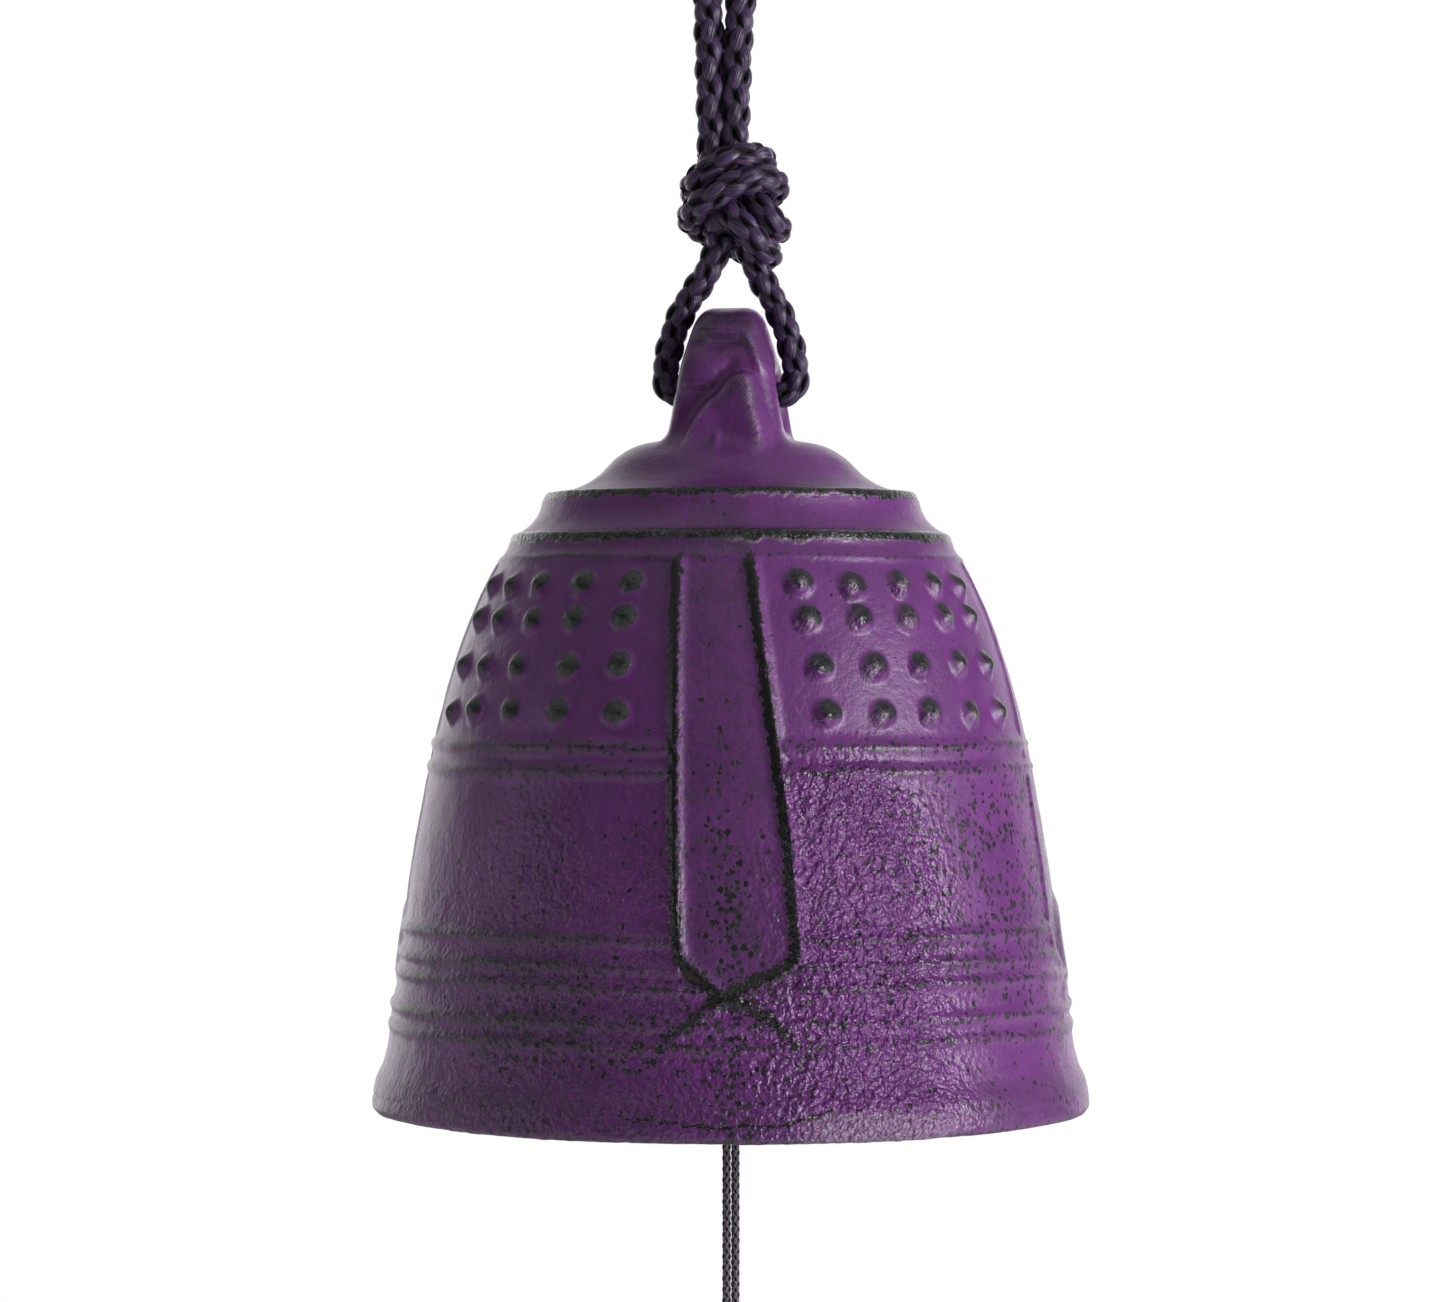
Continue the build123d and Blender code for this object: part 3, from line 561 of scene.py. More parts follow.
# Eye loop over the wire of the eye, and strip loop through the strip's hole
EYE_LOOP_ROUTE = [
    (-0.4, 0, 43.2), (-0.85, 0, 45.0), (-1.5, 0, 46.75), (-0.9, 0, 48.42), (0.9, 0, 48.42), (1.5, 0, 46.75), (0.85, 0, 45.0),
    (0.4, 0, 43.2),
]
STRIP_LOOP_ROUTE = [
    (0, -0.4, -36.2), (0, -0.7, -40.5), (0, -1.1, -44.5), (0, -0.9, -46.5), (0, 0.9, -46.5), (0, 1.1, -44.5), (0, 0.7, -40.5),
    (0, 0.4, -36.2),
]
for name, body, route, start in (
    ("eye_loop", "bell", EYE_LOOP_ROUTE, (0, 1, 0)), ("strip_loop", "wind_strip", STRIP_LOOP_ROUTE, (1, 0, 0))
):
    strand = braid(route_line(route), THREAD_RADIUS, start, sides=6, step_share=0.3)
    make_piece(f"{name}_thread", strand, [THREAD_YARN], body, [name])

# Eye: a wire staple cast into the crown
bend = np.linspace(0, pi, 40)
eye_line = np.concatenate([
    [(0, -2.6, 54.5), (0, -2.6, 52.0)], np.stack([0 * bend, -2.6 * np.cos(bend), 49.6 - 2.6 * np.sin(bend)], 1),
    [(0, 2.6, 52.0), (0, 2.6, 54.5)],
])
make_piece("clapper_eye_wire", tube(even_line(eye_line, 0.2), 0.9, (1, 0, 0), 16), [WIRE], "bell", ["clapper_eye"])

# Clapper: a bored disc with a tall hub, cast black
edge = np.linspace(0.5 * pi, -0.5 * pi, 24)
clapper_line = np.concatenate([
    [(2.1, 12.6), (2.75, 12.55), (3.2, 12.05), (3.2, 9.8), (3.45, 9.3)],
    np.stack([9.7 + 1.8 * np.cos(edge), 5.0 + 1.8 * np.sin(edge)], 1),
    [(1.4, 3.2), (1.1, 3.5), (1.1, 12.3), (1.4, 12.6), (2.1, 12.6)],
])
clapper_rows = even_line(soften(clapper_line, 0.13), 0.3)[:-1]
CLAPPER_COLUMNS = 160
clapper_points = lathe(clapper_rows, CLAPPER_COLUMNS)[0]
clapper_points += 0.05 * np.stack([lattice_noise(clapper_points, 2.4, seed) for seed in (41, 42, 43)], 1)
make_piece(
    "clapper_casting", (clapper_points, ring_faces(len(clapper_rows), CLAPPER_COLUMNS), {}), [IRON], "clapper",
    ["clapper"],
)

# Wind strip: bare paper with a punched hole, a little curled as it hangs
STRIP_WIDE, STRIP_TOP, STRIP_LONG, STRIP_HOLE_HEIGHT, HOLE_RADIUS = 40.0, -43.0, 105.0, -47.5, 1.5
corner = 0.8
bounds = np.array([(-STRIP_WIDE / 2, STRIP_TOP - STRIP_LONG), (STRIP_WIDE / 2, STRIP_TOP)])
(x0, z0), (x1, z1) = bounds
rim = even_line([
    (0, z1), (x0 + corner, z1), (x0, z1 - corner), (x0, z0 + corner), (x0 + corner, z0), (x1 - corner, z0), (x1, z0 + corner),
    (x1, z1 - corner), (x1 - corner, z1), (0, z1),
], 1.0)[:-1]
rim = rim[: len(rim) // 2 * 2]
around = np.arctan2(rim[:, 0], rim[:, 1] - STRIP_HOLE_HEIGHT)
hole = np.stack([HOLE_RADIUS * np.sin(around), STRIP_HOLE_HEIGHT + HOLE_RADIUS * np.cos(around)], 1)
share = np.linspace(0, 1, 64)[:, None, None] ** 1.3
sheet = hole + share * (rim - hole)


def strip_curl(x, h):
    """How far the hung paper stands from its flat plane."""
    down = np.clip((STRIP_HOLE_HEIGHT - h) / 100, -0.05, 1)
    cockle = lattice_noise(np.stack([x.ravel(), 0 * x.ravel(), h.ravel()], 1), 22.0, 51).reshape(x.shape)
    away = smooth_step(3.0, 14.0, np.hypot(x, h - STRIP_HOLE_HEIGHT))
    return 1.5 * (x / 20) ** 2 * (0.35 + 0.65 * down) + 2.2 * down**2 + 0.35 * cockle * away


curl = strip_curl(sheet[..., 0], sheet[..., 1])
front, back = (np.stack([sheet[..., 0], curl + y, sheet[..., 1]], -1) for y in (-0.18, 0.18))
strip_points = np.concatenate([front, back[::-1]]).reshape(-1, 3)
strip_piece = make_piece(
    "wind_strip_paper", (strip_points, ring_faces(2 * len(sheet), len(rim)), {}), [PAPER], "wind_strip",
    ["wind_strip"],
)

# Bell: the shell turned with its raised work, and the crown with its lug as one sculpted form
def bulge(start, end, sag, count=14):
    """Points from start to end, bowed by sag to the left of the way."""
    t = np.linspace(0, 1, count)[:, None]
    start, chord = np.array(start), np.array(end) - np.array(start)
    left = np.array([-chord[1], chord[0]]) / np.linalg.norm(chord)
    return start + t * chord + 4 * t * (1 - t) * sag * left


def bezier(a, b, c, d, count=120):
    t = np.linspace(0, 1, count)[:, None]
    a, b, c, d = map(np.array, (a, b, c, d))
    return (1 - t) ** 3 * a + 3 * t * (1 - t) ** 2 * b + 3 * t * t * (1 - t) * c + t**3 * d


WALL = 3.0
WALL_CURVE = [(18.7, 46.9), (25.2, 36.9), (26.6, 19.4), (28.7, 5.4)]
outer_line = np.concatenate([
    [(12.9, 51.82), (13.4, 51.80), (15.45, 51.60), (15.8, 50.85)],
    bulge((15.8, 50.85), (17.6, 48.3), -0.35),
    [(18.35, 48.05), (18.7, 46.95)],
    bezier(*WALL_CURVE),
    [(29.07, 4.0), (29.66, 2.8), (29.95, 1.6), (30.0, 0.45), (29.6, 0.0), (28.8, 0.0)],
])
outer_rows = even_line(soften(outer_line, 0.13), 0.22)
hidden_rows = np.array([(r, 53.6 - 0.0106 * r * r) for r in (0.05, 4.0, 8.0, 11.0, 12.6)])
inner_line = np.concatenate([
    [(28.7, 0.0), (26.75, 0.0), (26.2, 0.5)],
    bezier(*[(r - WALL, h) for r, h in WALL_CURVE][::-1]),
    bulge((15.7, 46.9), (0.05, 52.3), -1.45, 40),
])
inner_rows = even_line(soften(inner_line, 0.3), 0.8)
COLUMNS = 768
turns = np.degrees(np.linspace(0, 2 * pi, COLUMNS, endpoint=False))
outer_slope = np.gradient(outer_rows, axis=0)
outer_slope /= np.linalg.norm(outer_slope, axis=1)[:, None]
outer_normal = np.stack([-outer_slope[:, 1], outer_slope[:, 0]], 1)
radius_grid = np.repeat(outer_rows[:, :1], COLUMNS, 1)
height_grid = np.repeat(outer_rows[:, 1:], COLUMNS, 1)
turn_grid = np.repeat(turns[None], len(outer_rows), 0)


def turn_gap(turn):
    """Signed degrees from a turn to each column of the grid."""
    return (turn_grid - turn + 180) % 360 - 180


def path_distance(across, up, path):
    """Distance in a flat plane from each point to a polyline, and how far to its right the point is."""
    best, aside = np.full(across.shape, 1e9), np.zeros(across.shape)
    for (x0, y0), (x1, y1) in zip(path, path[1:]):
        dx, dy = x1 - x0, y1 - y0
        share = np.clip(((across - x0) * dx + (up - y0) * dy) / (dx * dx + dy * dy), 0, 1)
        gap = np.hypot(across - x0 - share * dx, up - y0 - share * dy)
        nearer = gap < best
        best = np.where(nearer, gap, best)
        aside = np.where(nearer, across - x0 - share * dx, aside)
    return best, aside


# Bosses: measured rows and columns on the two front panels, the same mirrored behind
BOSS_ROWS = (43.6, 40.95, 37.2, 33.45)
RIGHT_COLUMNS = ((18.2, 31.0, 44.2, 56.6, 67.5), (19.2, 31.3, 43.7, 55.8, 67.0), (20.7, 32.7, 43.9, 56.2, 67.2),
                 (21.4, 33.1, 44.3, 56.2, 67.4))
LEFT_COLUMNS = ((19.9, 32.7, 45.8, 57.8, 69.4), (20.2, 32.5, 44.4, 57.2, 68.6), (19.6, 31.4, 45.3, 57.5, 68.8),
                (19.2, 32.1, 44.8, 57.2, 68.2))
BOSS_REACH, BOSS_HEIGHT = 1.45, 0.74
lift = np.zeros_like(radius_grid)
boss_mask, boss_glint = np.zeros_like(lift), np.zeros_like(lift)
draw = np.random.default_rng(7)
for base, sign, table in ((0, 1, RIGHT_COLUMNS), (0, -1, LEFT_COLUMNS), (180, 1, LEFT_COLUMNS), (180, -1, RIGHT_COLUMNS)):
    for height, columns in zip(BOSS_ROWS, table):
        for column in columns:
            size, up_shift = draw.uniform(0.93, 1.08), draw.uniform(-0.18, 0.18)
            across = np.radians(turn_gap(base + sign * column)) * radius_grid
            up = (height_grid - height - up_shift) / 0.92
            near = np.clip(1 - (across**2 + up**2) / (BOSS_REACH * size) ** 2, 0, 1)
            lift = np.maximum(lift, BOSS_HEIGHT * size * near**1.8)
            aside, above = (0.25, 0.42) if sign > 0 else (0.10, 0.10)
            worn = np.clip(1 - ((across - aside) ** 2 + (up - above) ** 2) / 1.25**2, 0, 1) * smooth_step(0.0, 0.45, near)
            boss_mask = np.maximum(boss_mask, worn * (1 if sign > 0 else np.interp(column, (30, 68), (1, 0.5))))
            if sign > 0:
                # Painted glints: silver flecks on the lower left of the bosses on the right of the front.
                low_left = np.clip(1 - ((across + 0.40) ** 2 + (up + 0.45) ** 2) / 1.1**2, 0, 1)
                boss_glint = np.maximum(boss_glint, low_left * smooth_step(70, 40, column))

# Straps: two raised ribs that close in a V and cross, on each side of the bell
STRAP_LEFT = ((-9.2, 45.4), (-8.1, 38.4), (-7.2, 30.6), (-6.5, 22.8), (-5.7, 15.8), (-5.1, 14.3), (-3.8, 13.5), (0.1, 12.0),
              (2.1, 11.3), (6.1, 10.7), (10.3, 9.3), (14.8, 6.8))
STRAP_RIGHT = ((7.8, 45.4), (9.3, 38.4), (11.2, 30.6), (12.9, 22.8), (13.8, 15.8), (13.9, 14.6), (13.1, 13.7), (5.5, 11.9),
               (2.1, 11.3), (0.0, 10.5), (-3.7, 9.0), (-7.9, 7.3))
rib_gap, rib_aside = np.full_like(lift, 1e9), np.zeros_like(lift)
rib_share = np.full_like(lift, 0.4)
front_share = np.zeros_like(lift)
strap_share = np.zeros_like(lift)
strap_middle = np.zeros_like(lift)
roundel_gap = np.full_like(lift, 1e9)
for quarter in range(4):
    mirror = 1 if quarter % 2 == 0 else -1
    gap = turn_gap(90 * quarter) * mirror
    across = np.radians(gap) * radius_grid
    for ribs in (STRAP_LEFT, STRAP_RIGHT):
        path = [(radians(a) * np.interp(h, outer_rows[::-1, 1], outer_rows[::-1, 0]), h) for a, h in ribs]
        near = np.flatnonzero(np.abs(gap).ravel() < 25)
        distance, aside = path_distance(across.ravel()[near], height_grid.ravel()[near], path)
        closer = distance < rib_gap.ravel()[near]
        rib_gap.ravel()[near[closer]] = distance[closer]
        rib_aside.ravel()[near[closer]] = mirror * aside[closer]
        if quarter % 2 == 0:
            front_share.ravel()[near] = 1.0
            rib_share.ravel()[near] = 1.0
    left_edge = np.interp(height_grid, [p[1] for p in STRAP_LEFT[5::-1]], [p[0] for p in STRAP_LEFT[5::-1]])
    right_edge = np.interp(height_grid, [p[1] for p in STRAP_RIGHT[5::-1]], [p[0] for p in STRAP_RIGHT[5::-1]])
    within = smooth_step(left_edge - 0.6, left_edge + 0.6, gap) * smooth_step(-right_edge - 0.6, -right_edge + 0.6, -gap)
    strap_share = np.maximum(strap_share, within * smooth_step(11.5, 13.0, height_grid))
    strap_middle = np.maximum(strap_middle, np.exp(-((gap - np.interp(height_grid, (14, 40), (3.2, -0.5))) / 4.0) ** 2) * within)
    if quarter % 2:
        roundel_gap = np.minimum(roundel_gap, np.hypot(across, height_grid - 14.2))

# Fine ridges round the bell, which stop at the straps
wobble = lattice_noise(np.stack([radius_grid * np.sin(np.radians(turn_grid)), -radius_grid * np.cos(np.radians(turn_grid)),
                                 height_grid], -1).reshape(-1, 3), 6.0, 3).reshape(lift.shape)
RIDGES = ((45.95, 0.18, 0.30), (30.65, 0.40, 0.56), (28.75, 0.40, 0.56), (15.6, 0.40, 0.52), (13.5, 0.36, 0.48),
          (11.9, 0.36, 0.46), (9.1, 0.36, 0.52), (7.4, 0.26, 0.48))
ridge_lift, ridge_mask = np.zeros_like(lift), np.zeros_like(lift)
for height, tall, wide in RIDGES:
    shape = np.exp(-((height_grid - height + 0.12 * wobble) / wide) ** 2)
    open_wall = 1 - strap_share if height < 45 else 1.0
    ridge_lift = np.maximum(ridge_lift, tall * shape * open_wall)
    ridge_mask = np.maximum(ridge_mask, shape * open_wall)
rib_lift = 0.46 * rib_share * np.exp(-((rib_gap / 0.55) ** 2)) * smooth_step(6.0, 9.5, height_grid)
roundel_lift = 0.36 * smooth_step(4.6, 2.6, roundel_gap)
lift = np.maximum.reduce([lift, ridge_lift, rib_lift, np.maximum(roundel_lift, 0)])

# Cast unevenness, and the filed band at the mouth
shell_xyz = np.stack([radius_grid * np.sin(np.radians(turn_grid)), -radius_grid * np.cos(np.radians(turn_grid)), height_grid], -1)
flat_xyz = shell_xyz.reshape(-1, 3)
uneven = (0.05 * lattice_noise(flat_xyz, 5.0, 11) + 0.025 * lattice_noise(flat_xyz, 1.6, 12)).reshape(lift.shape)
signed_turn = (turn_grid + 180) % 360 - 180
coarse = np.clip(0.12 + 0.33 * smooth_step(32, 20, height_grid) * (1 - 0.45 * smooth_step(33, 46, signed_turn)) + 0.80 * np.exp(-((signed_turn - 24) / 11.5) ** 2)
                 * smooth_step(33, 26, height_grid) - 0.25 * smooth_step(40, 58, np.abs(signed_turn)) - 0.28 * strap_share, 0.10, 1)
coarse = np.maximum(coarse, 0.6 * boss_glint)
pitted = (lattice_noise(flat_xyz, 0.75, 21) + 0.6 * lattice_noise(flat_xyz, 0.45, 22)).reshape(lift.shape)
uneven += 0.045 * pitted * coarse * smooth_step(47, 44, height_grid)
file_zone = smooth_step(10, 18, signed_turn) * smooth_step(43, 35, signed_turn)
file_edge = 1.55 + 0.30 * wobble + 0.12 * pitted + 0.75 * file_zone
filed_and_glint = smooth_step(file_edge + 0.12, file_edge - 0.12, height_grid)
file_groove = np.exp(-((height_grid - file_edge - 0.05) / 0.16) ** 2)
lift += uneven - 0.11 * file_groove

outer_points = shell_xyz + lift[..., None] * np.stack(
    [outer_normal[:, :1] * np.sin(np.radians(turn_grid)), -outer_normal[:, :1] * np.cos(np.radians(turn_grid)),
     np.repeat(outer_normal[:, 1:], COLUMNS, 1)], -1)

# Where the paint is rubbed through, where it has specks, and where shade and highlights are painted in
chips = (0.6 * lattice_noise(flat_xyz, 1.3, 23) + 0.5 * lattice_noise(flat_xyz, 0.5, 24)).reshape(lift.shape)
lip_height = height_grid - 0.34 * chips
lip = np.maximum(smooth_step(50.95, 51.10, lip_height) * smooth_step(51.78, 51.66, height_grid) * (radius_grid > 15.1),
                 smooth_step(47.25, 47.42, lip_height) * smooth_step(48.28, 48.15, height_grid) * (radius_grid > 18.0))
coarse = np.maximum(coarse, 0.35 * lip)
# Painted highlights: glints along the foot of each ring's lip on the front right, and a light line along the top edge
# of each lip towards the sides.
lip_edge = np.exp(-((lip_height - 51.02) / 0.10) ** 2) * (radius_grid > 15.1) + np.exp(-((lip_height - 47.32) / 0.10) ** 2) * (radius_grid > 18.0)
lip_top = np.exp(-((height_grid - 51.62) / 0.09) ** 2) * (radius_grid > 15.1) + np.exp(-((height_grid - 48.10) / 0.09) ** 2) * (radius_grid > 18.0)
glint = lip_edge * smooth_step(-2, 6, signed_turn) * smooth_step(42, 30, signed_turn) + lip_top * smooth_step(12, 35, np.abs(signed_turn))
left_front = smooth_step(-95, -60, signed_turn) * smooth_step(8, -34, signed_turn)
right_side = smooth_step(8, 45, signed_turn) * smooth_step(160, 100, signed_turn)
worn_rib = np.exp(-np.abs((rib_aside + 0.26) / 0.50) ** 3 - (np.minimum(rib_gap, 9) / 0.85) ** 4)
worn_rib *= front_share * smooth_step(5.5, 9.5, height_grid)
foot_arm = smooth_step(11.2, 10.4, height_grid)
rub = np.maximum.reduce([
    0.98 * smooth_step(0.15, 0.55, boss_mask + 0.22 * chips * (boss_mask > 0.02)), 0.46 * smooth_step(0.30, 0.90, ridge_mask) * (1 - 0.3 * left_front),
    1.05 * lip, 0.55 * worn_rib,
])
bare = np.maximum.reduce([
    (0.98 - 0.30 * foot_arm) * worn_rib, 0.58 * lip, 0.50 * smooth_step(0.55, 1.0, boss_mask),
    0.98 * file_groove * smooth_step(-20, -10, signed_turn) * smooth_step(22, 16, signed_turn),
    0.50 * smooth_step(0.55, 0.15, height_grid),
])
speck = np.maximum.reduce([
    strap_middle * (0.16 + 0.74 * smooth_step(36, 17, height_grid)),
    0.60 * smooth_step(17, 11, height_grid) * smooth_step(3.0, 6.0, height_grid) * smooth_step(44, 18, np.abs(signed_turn + 15)),
    0.56 * right_side * smooth_step(32, 25, height_grid) * (0.35 + 0.65 * smooth_step(8, 15, height_grid)), 0.16 * smooth_step(33, 26, height_grid),
    0.50 * ridge_mask * (height_grid < 32), 0.95 * np.exp(-((rib_gap / 1.3) ** 2)) * foot_arm,
])
# Charcoal smudge and painted shade: rubbed iron round the bosses and on the left front's ridges; painted shade over
# the strap panel, a painted shadow to the left of each rib and a dark band at the foot of the lower ring; also darker
# low on the left front and towards the rim.
smudge_and_shade = np.clip(
    0.70 * left_front * smooth_step(0.10, 0.8, ridge_mask) + 0.46 * strap_share + 0.55 * left_front * np.exp(-((rib_aside + 1.5) / 1.3) ** 2) * (rib_gap < 6)
    + 0.20 * left_front * smooth_step(31, 24, height_grid) * smooth_step(-60, -20, signed_turn)
    + 0.55 * smooth_step(0.0, 0.35, boss_mask) + 0.25 * np.exp(-((height_grid - 47.2) / 0.8) ** 2) + 0.34 * smooth_step(5.5, 2.0, height_grid) * (1 - file_zone), 0, 0.8)
shell_points = np.concatenate([
    lathe(hidden_rows, COLUMNS)[0], outer_points.reshape(-1, 3), lathe(inner_rows, COLUMNS)[0]
])
row_count = len(hidden_rows) + len(outer_rows) + len(inner_rows)
shell_faces = np.concatenate([
    grid_faces(row_count, COLUMNS), end_faces(0, COLUMNS), end_faces((row_count - 1) * COLUMNS, COLUMNS)[:, ::-1]
])


def over_shell(values, hidden=0.0, inside=0.0):
    """One value for each point of the shell, from a grid over its outside."""
    return np.concatenate([
        np.full(len(hidden_rows) * COLUMNS, hidden), np.asarray(values).ravel(), np.full(len(inner_rows) * COLUMNS, inside)
    ])


# The silver map joins the filed band at the mouth with the painted glints on the ring lips and bosses.
shell_attributes = {
    "rub": over_shell(rub), "bare": over_shell(bare), "coarse": over_shell(coarse), "speck": over_shell(speck),
    "filed_and_glint": over_shell(np.maximum(filed_and_glint * file_zone, np.clip(glint + 1.5 * boss_glint * smooth_step(-0.1, 0.4, pitted), 0, 1))),
    "smudge_and_shade": over_shell(smudge_and_shade), "matt": over_shell(smooth_step(95, 120, np.abs(signed_turn))),
}

# Crown and lug, as the zero surface of a field in millimetres
CROWN_LINE = soften([(0, 55.9), (6.0, 55.9), (7.6, 55.62), (8.6, 55.2), (9.8, 54.4), (10.6, 53.55), (11.2, 52.95), (12.3, 52.25),
                     (13.3, 51.85), (15.0, 51.3), (17.0, 50.6)], 0.3)
CROWN_SLOPE = np.gradient(CROWN_LINE[:, 1], CROWN_LINE[:, 0])
LUG_TURN, LUG_TOP, HOLE_MIDDLE = radians(-2.5), 67.1, 59.15
SNOUT_RIDGE = ((53.5, 54.6, 55.5, 57.2, 58.7, 60.1, 61.3), (3.0, 3.0, 3.1, 2.75, 2.2, 2.0, 1.7))
BROW_RIDGE = ((58.3, 60.5, 62.2, 63.3, 64.4, 65.5), (4.1, 3.3, 2.8, 2.45, 1.9, 1.5))
LUG_WIDTHS = ((52.0, 55.0, 58.3, 62.5, 64.3, 65.7, 67.1), (5.9, 5.1, 4.5, 3.85, 3.4, 2.95, 2.35))
FOLD = ((4.6, 52.0), (4.1, 57.0), (3.2, 60.0), (2.4, 61.2), (1.6, 61.45), (0.9, 61.25), (0.3, 60.8), (-0.5, 59.7), (-1.6, 58.85),
        (-2.35, 57.8), (-2.95, 56.5), (-3.5, 55.0), (-4.0, 52.0))


def fold_side(u, h):
    """Signed distance from the fold's line on the lug, positive below it."""
    best, sign = np.full(u.shape, 1e9), np.ones(u.shape)
    for (x0, y0), (x1, y1) in zip(FOLD, FOLD[1:]):
        dx, dy = x1 - x0, y1 - y0
        share = np.clip(((u - x0) * dx + (h - y0) * dy) / (dx * dx + dy * dy), 0, 1)
        gap = np.hypot(u - x0 - share * dx, h - y0 - share * dy)
        nearer = gap < best
        best = np.where(nearer, gap, best)
        sign = np.where(nearer, np.sign(dx * (h - y0) - dy * (u - x0)), sign)
    return best * sign


def lug_relief(u, h):
    """How far the sculpted face of a leg stands out."""
    side = fold_side(u, h)
    past_ridge = u - np.interp(h, *SNOUT_RIDGE)
    snout = (1.45 + 0.17 * np.clip(past_ridge, -3, 0)) * smooth_step(-0.22, 0.34, side) * smooth_step(1.5, 0.0, past_ridge)
    snout *= smooth_step(53.0, 55.2, h)
    hollow = -0.70 * np.exp(-(((u + 0.6) / 2.2) ** 2) - ((h - 63.8) / 0.75) ** 2)
    hollow -= 0.45 * np.exp(-(((side + 0.7) / 0.7) ** 2)) * smooth_step(1.4, 0.2, u) * smooth_step(54.0, 56.5, h)
    brow = 0.32 * np.exp(-(((h - 65.1) / 0.5) ** 2)) * smooth_step(3.2, 2.0, np.abs(u))
    lip_line = -0.25 * np.exp(-(((h - 60.1) / 0.35) ** 2)) * smooth_step(-0.9, -2.0, u)
    corner_ridge = 0.42 * np.exp(-(((u - np.interp(h, *BROW_RIDGE)) / 0.55) ** 2))
    corner_ridge *= smooth_step(60.8, 62.6, h) * smooth_step(65.2, 64.0, h)
    scratches = 0.02 * np.sin(12.0 * h + 0.5 * u) * smooth_step(64.7, 65.2, h) * smooth_step(66.6, 66.2, h)
    return snout + hollow + brow + lip_line + corner_ridge + scratches


def casting_field(points):
    """Below zero inside the crown and the lug."""
    x, y, h = points.T
    r = np.hypot(x, y)
    crown = (h - np.interp(r, *CROWN_LINE.T)) / np.sqrt(1 + np.interp(r, CROWN_LINE[:, 0], CROWN_SLOPE) ** 2)
    u = x * cos(LUG_TURN) + y * sin(LUG_TURN)
    v = -x * sin(LUG_TURN) + y * cos(LUG_TURN)
    above_cord = np.maximum(h - LEG_PASS, 0)
    arch = h + smooth_step(61.0, 66.0, h) * (np.hypot(0.85 * v, above_cord) - above_cord)
    half_wide = np.interp(arch, *LUG_WIDTHS)
    half_deep = 4.3 + 0.214 * (LUG_TOP - h)
    front = -v - half_deep - lug_relief(u, h)
    back = v - half_deep - lug_relief(-u, h)
    body = smooth_max(np.abs(u) - half_wide, np.maximum(front, back), 2.4)
    body = smooth_max(body, arch - LUG_TOP, 1.2)
    corner = 1.7
    qv, qh = np.abs(v) - (2.9 - corner), np.abs(h - HOLE_MIDDLE) - (2.1 - corner)
    hole = np.hypot(np.maximum(qv, 0), np.maximum(qh, 0)) + np.minimum(np.maximum(qv, qh), 0) - corner
    body = smooth_max(body, -hole, 1.5)
    drip = 0.35 * np.exp(-((u + 0.5) / 0.28) ** 2 - ((v + 7.9) / 0.9) ** 2)
    both = smooth_min(crown - drip, body, 1.0)
    floor_cut = 53.2 - 0.011 * r * r - h
    return np.maximum(np.maximum(both, floor_cut), r - 13.9)


def surface_net(field, low, high, step):
    """A quad mesh of a field's zero surface, its points drawn onto the surface."""
    axes = [np.arange(a, b + step / 2, step) for a, b in zip(low, high)]
    grid = np.stack(np.meshgrid(*axes, indexing="ij"), -1)
    values = field(grid.reshape(-1, 3)).reshape(grid.shape[:3])
    cells = np.array(values.shape) - 1
    total, count = np.zeros((*cells, 3)), np.zeros(cells)
    for axis in range(3):
        others = [k for k in range(3) if k != axis]
        for shift in range(4):
            offset = np.zeros(3, int)
            offset[others[0]], offset[others[1]] = shift & 1, shift >> 1
            here = tuple(slice(o, o + c) for o, c in zip(offset, cells))
            offset[axis] = 1
            there = tuple(slice(o, o + c) for o, c in zip(offset, cells))
            offset[axis] = 0
            a, b = values[here], values[there]
            crossing = (a < 0) != (b < 0)
            share = np.where(crossing, a / np.where(crossing, a - b, 1), 0)
            total += crossing[..., None] * offset
            total[..., axis] += share
            count += crossing
    used = count > 0
    index = np.full(cells, -1)
    index[used] = np.arange(used.sum())
    points = (np.argwhere(used) + total[used] / count[used][:, None]) * step + np.array(low)
    faces = []
    for axis in range(3):
        b, c = (axis + 1) % 3, (axis + 2) % 3
        ahead = np.take(values, range(1, values.shape[axis]), axis) < 0
        crossing = (np.take(values, range(values.shape[axis] - 1), axis) < 0) != ahead
        at = np.argwhere(crossing)
        at = at[(at[:, b] > 0) & (at[:, b] < cells[b]) & (at[:, c] > 0) & (at[:, c] < cells[c])]
        outwards = ~ahead[tuple(at.T)]
        ring = []
        for db, dc in ((1, 1), (0, 1), (0, 0), (1, 0)):
            cell = at.copy()
            cell[:, b] -= db
            cell[:, c] -= dc
            ring.append(index[tuple(cell.T)])
        quad = np.stack(ring, 1)
        quad[~outwards] = quad[~outwards, ::-1]
        faces.append(quad)
    for _ in range(3):
        value = field(points)
        slope = np.stack([(field(points + d) - field(points - d)) / 0.04 for d in 0.02 * np.eye(3)], 1)
        move = value[:, None] * slope / np.maximum((slope**2).sum(1), 0.25)[:, None]
        points = points - np.clip(move, -0.1, 0.1)
    return points, np.concatenate(faces)


CAP_STEP = 0.22
cap_points, cap_faces = surface_net(casting_field, (-14.3, -14.3, 50.4), (14.3, 14.3, 67.6), CAP_STEP)
cap_u = cap_points[:, 0] * cos(LUG_TURN) + cap_points[:, 1] * sin(LUG_TURN)
cap_v = -cap_points[:, 0] * sin(LUG_TURN) + cap_points[:, 1] * cos(LUG_TURN)
cap_h = cap_points[:, 2]
cap_face = np.where(cap_v < 0, cap_u, -cap_u)
cap_side = fold_side(cap_face, cap_h)
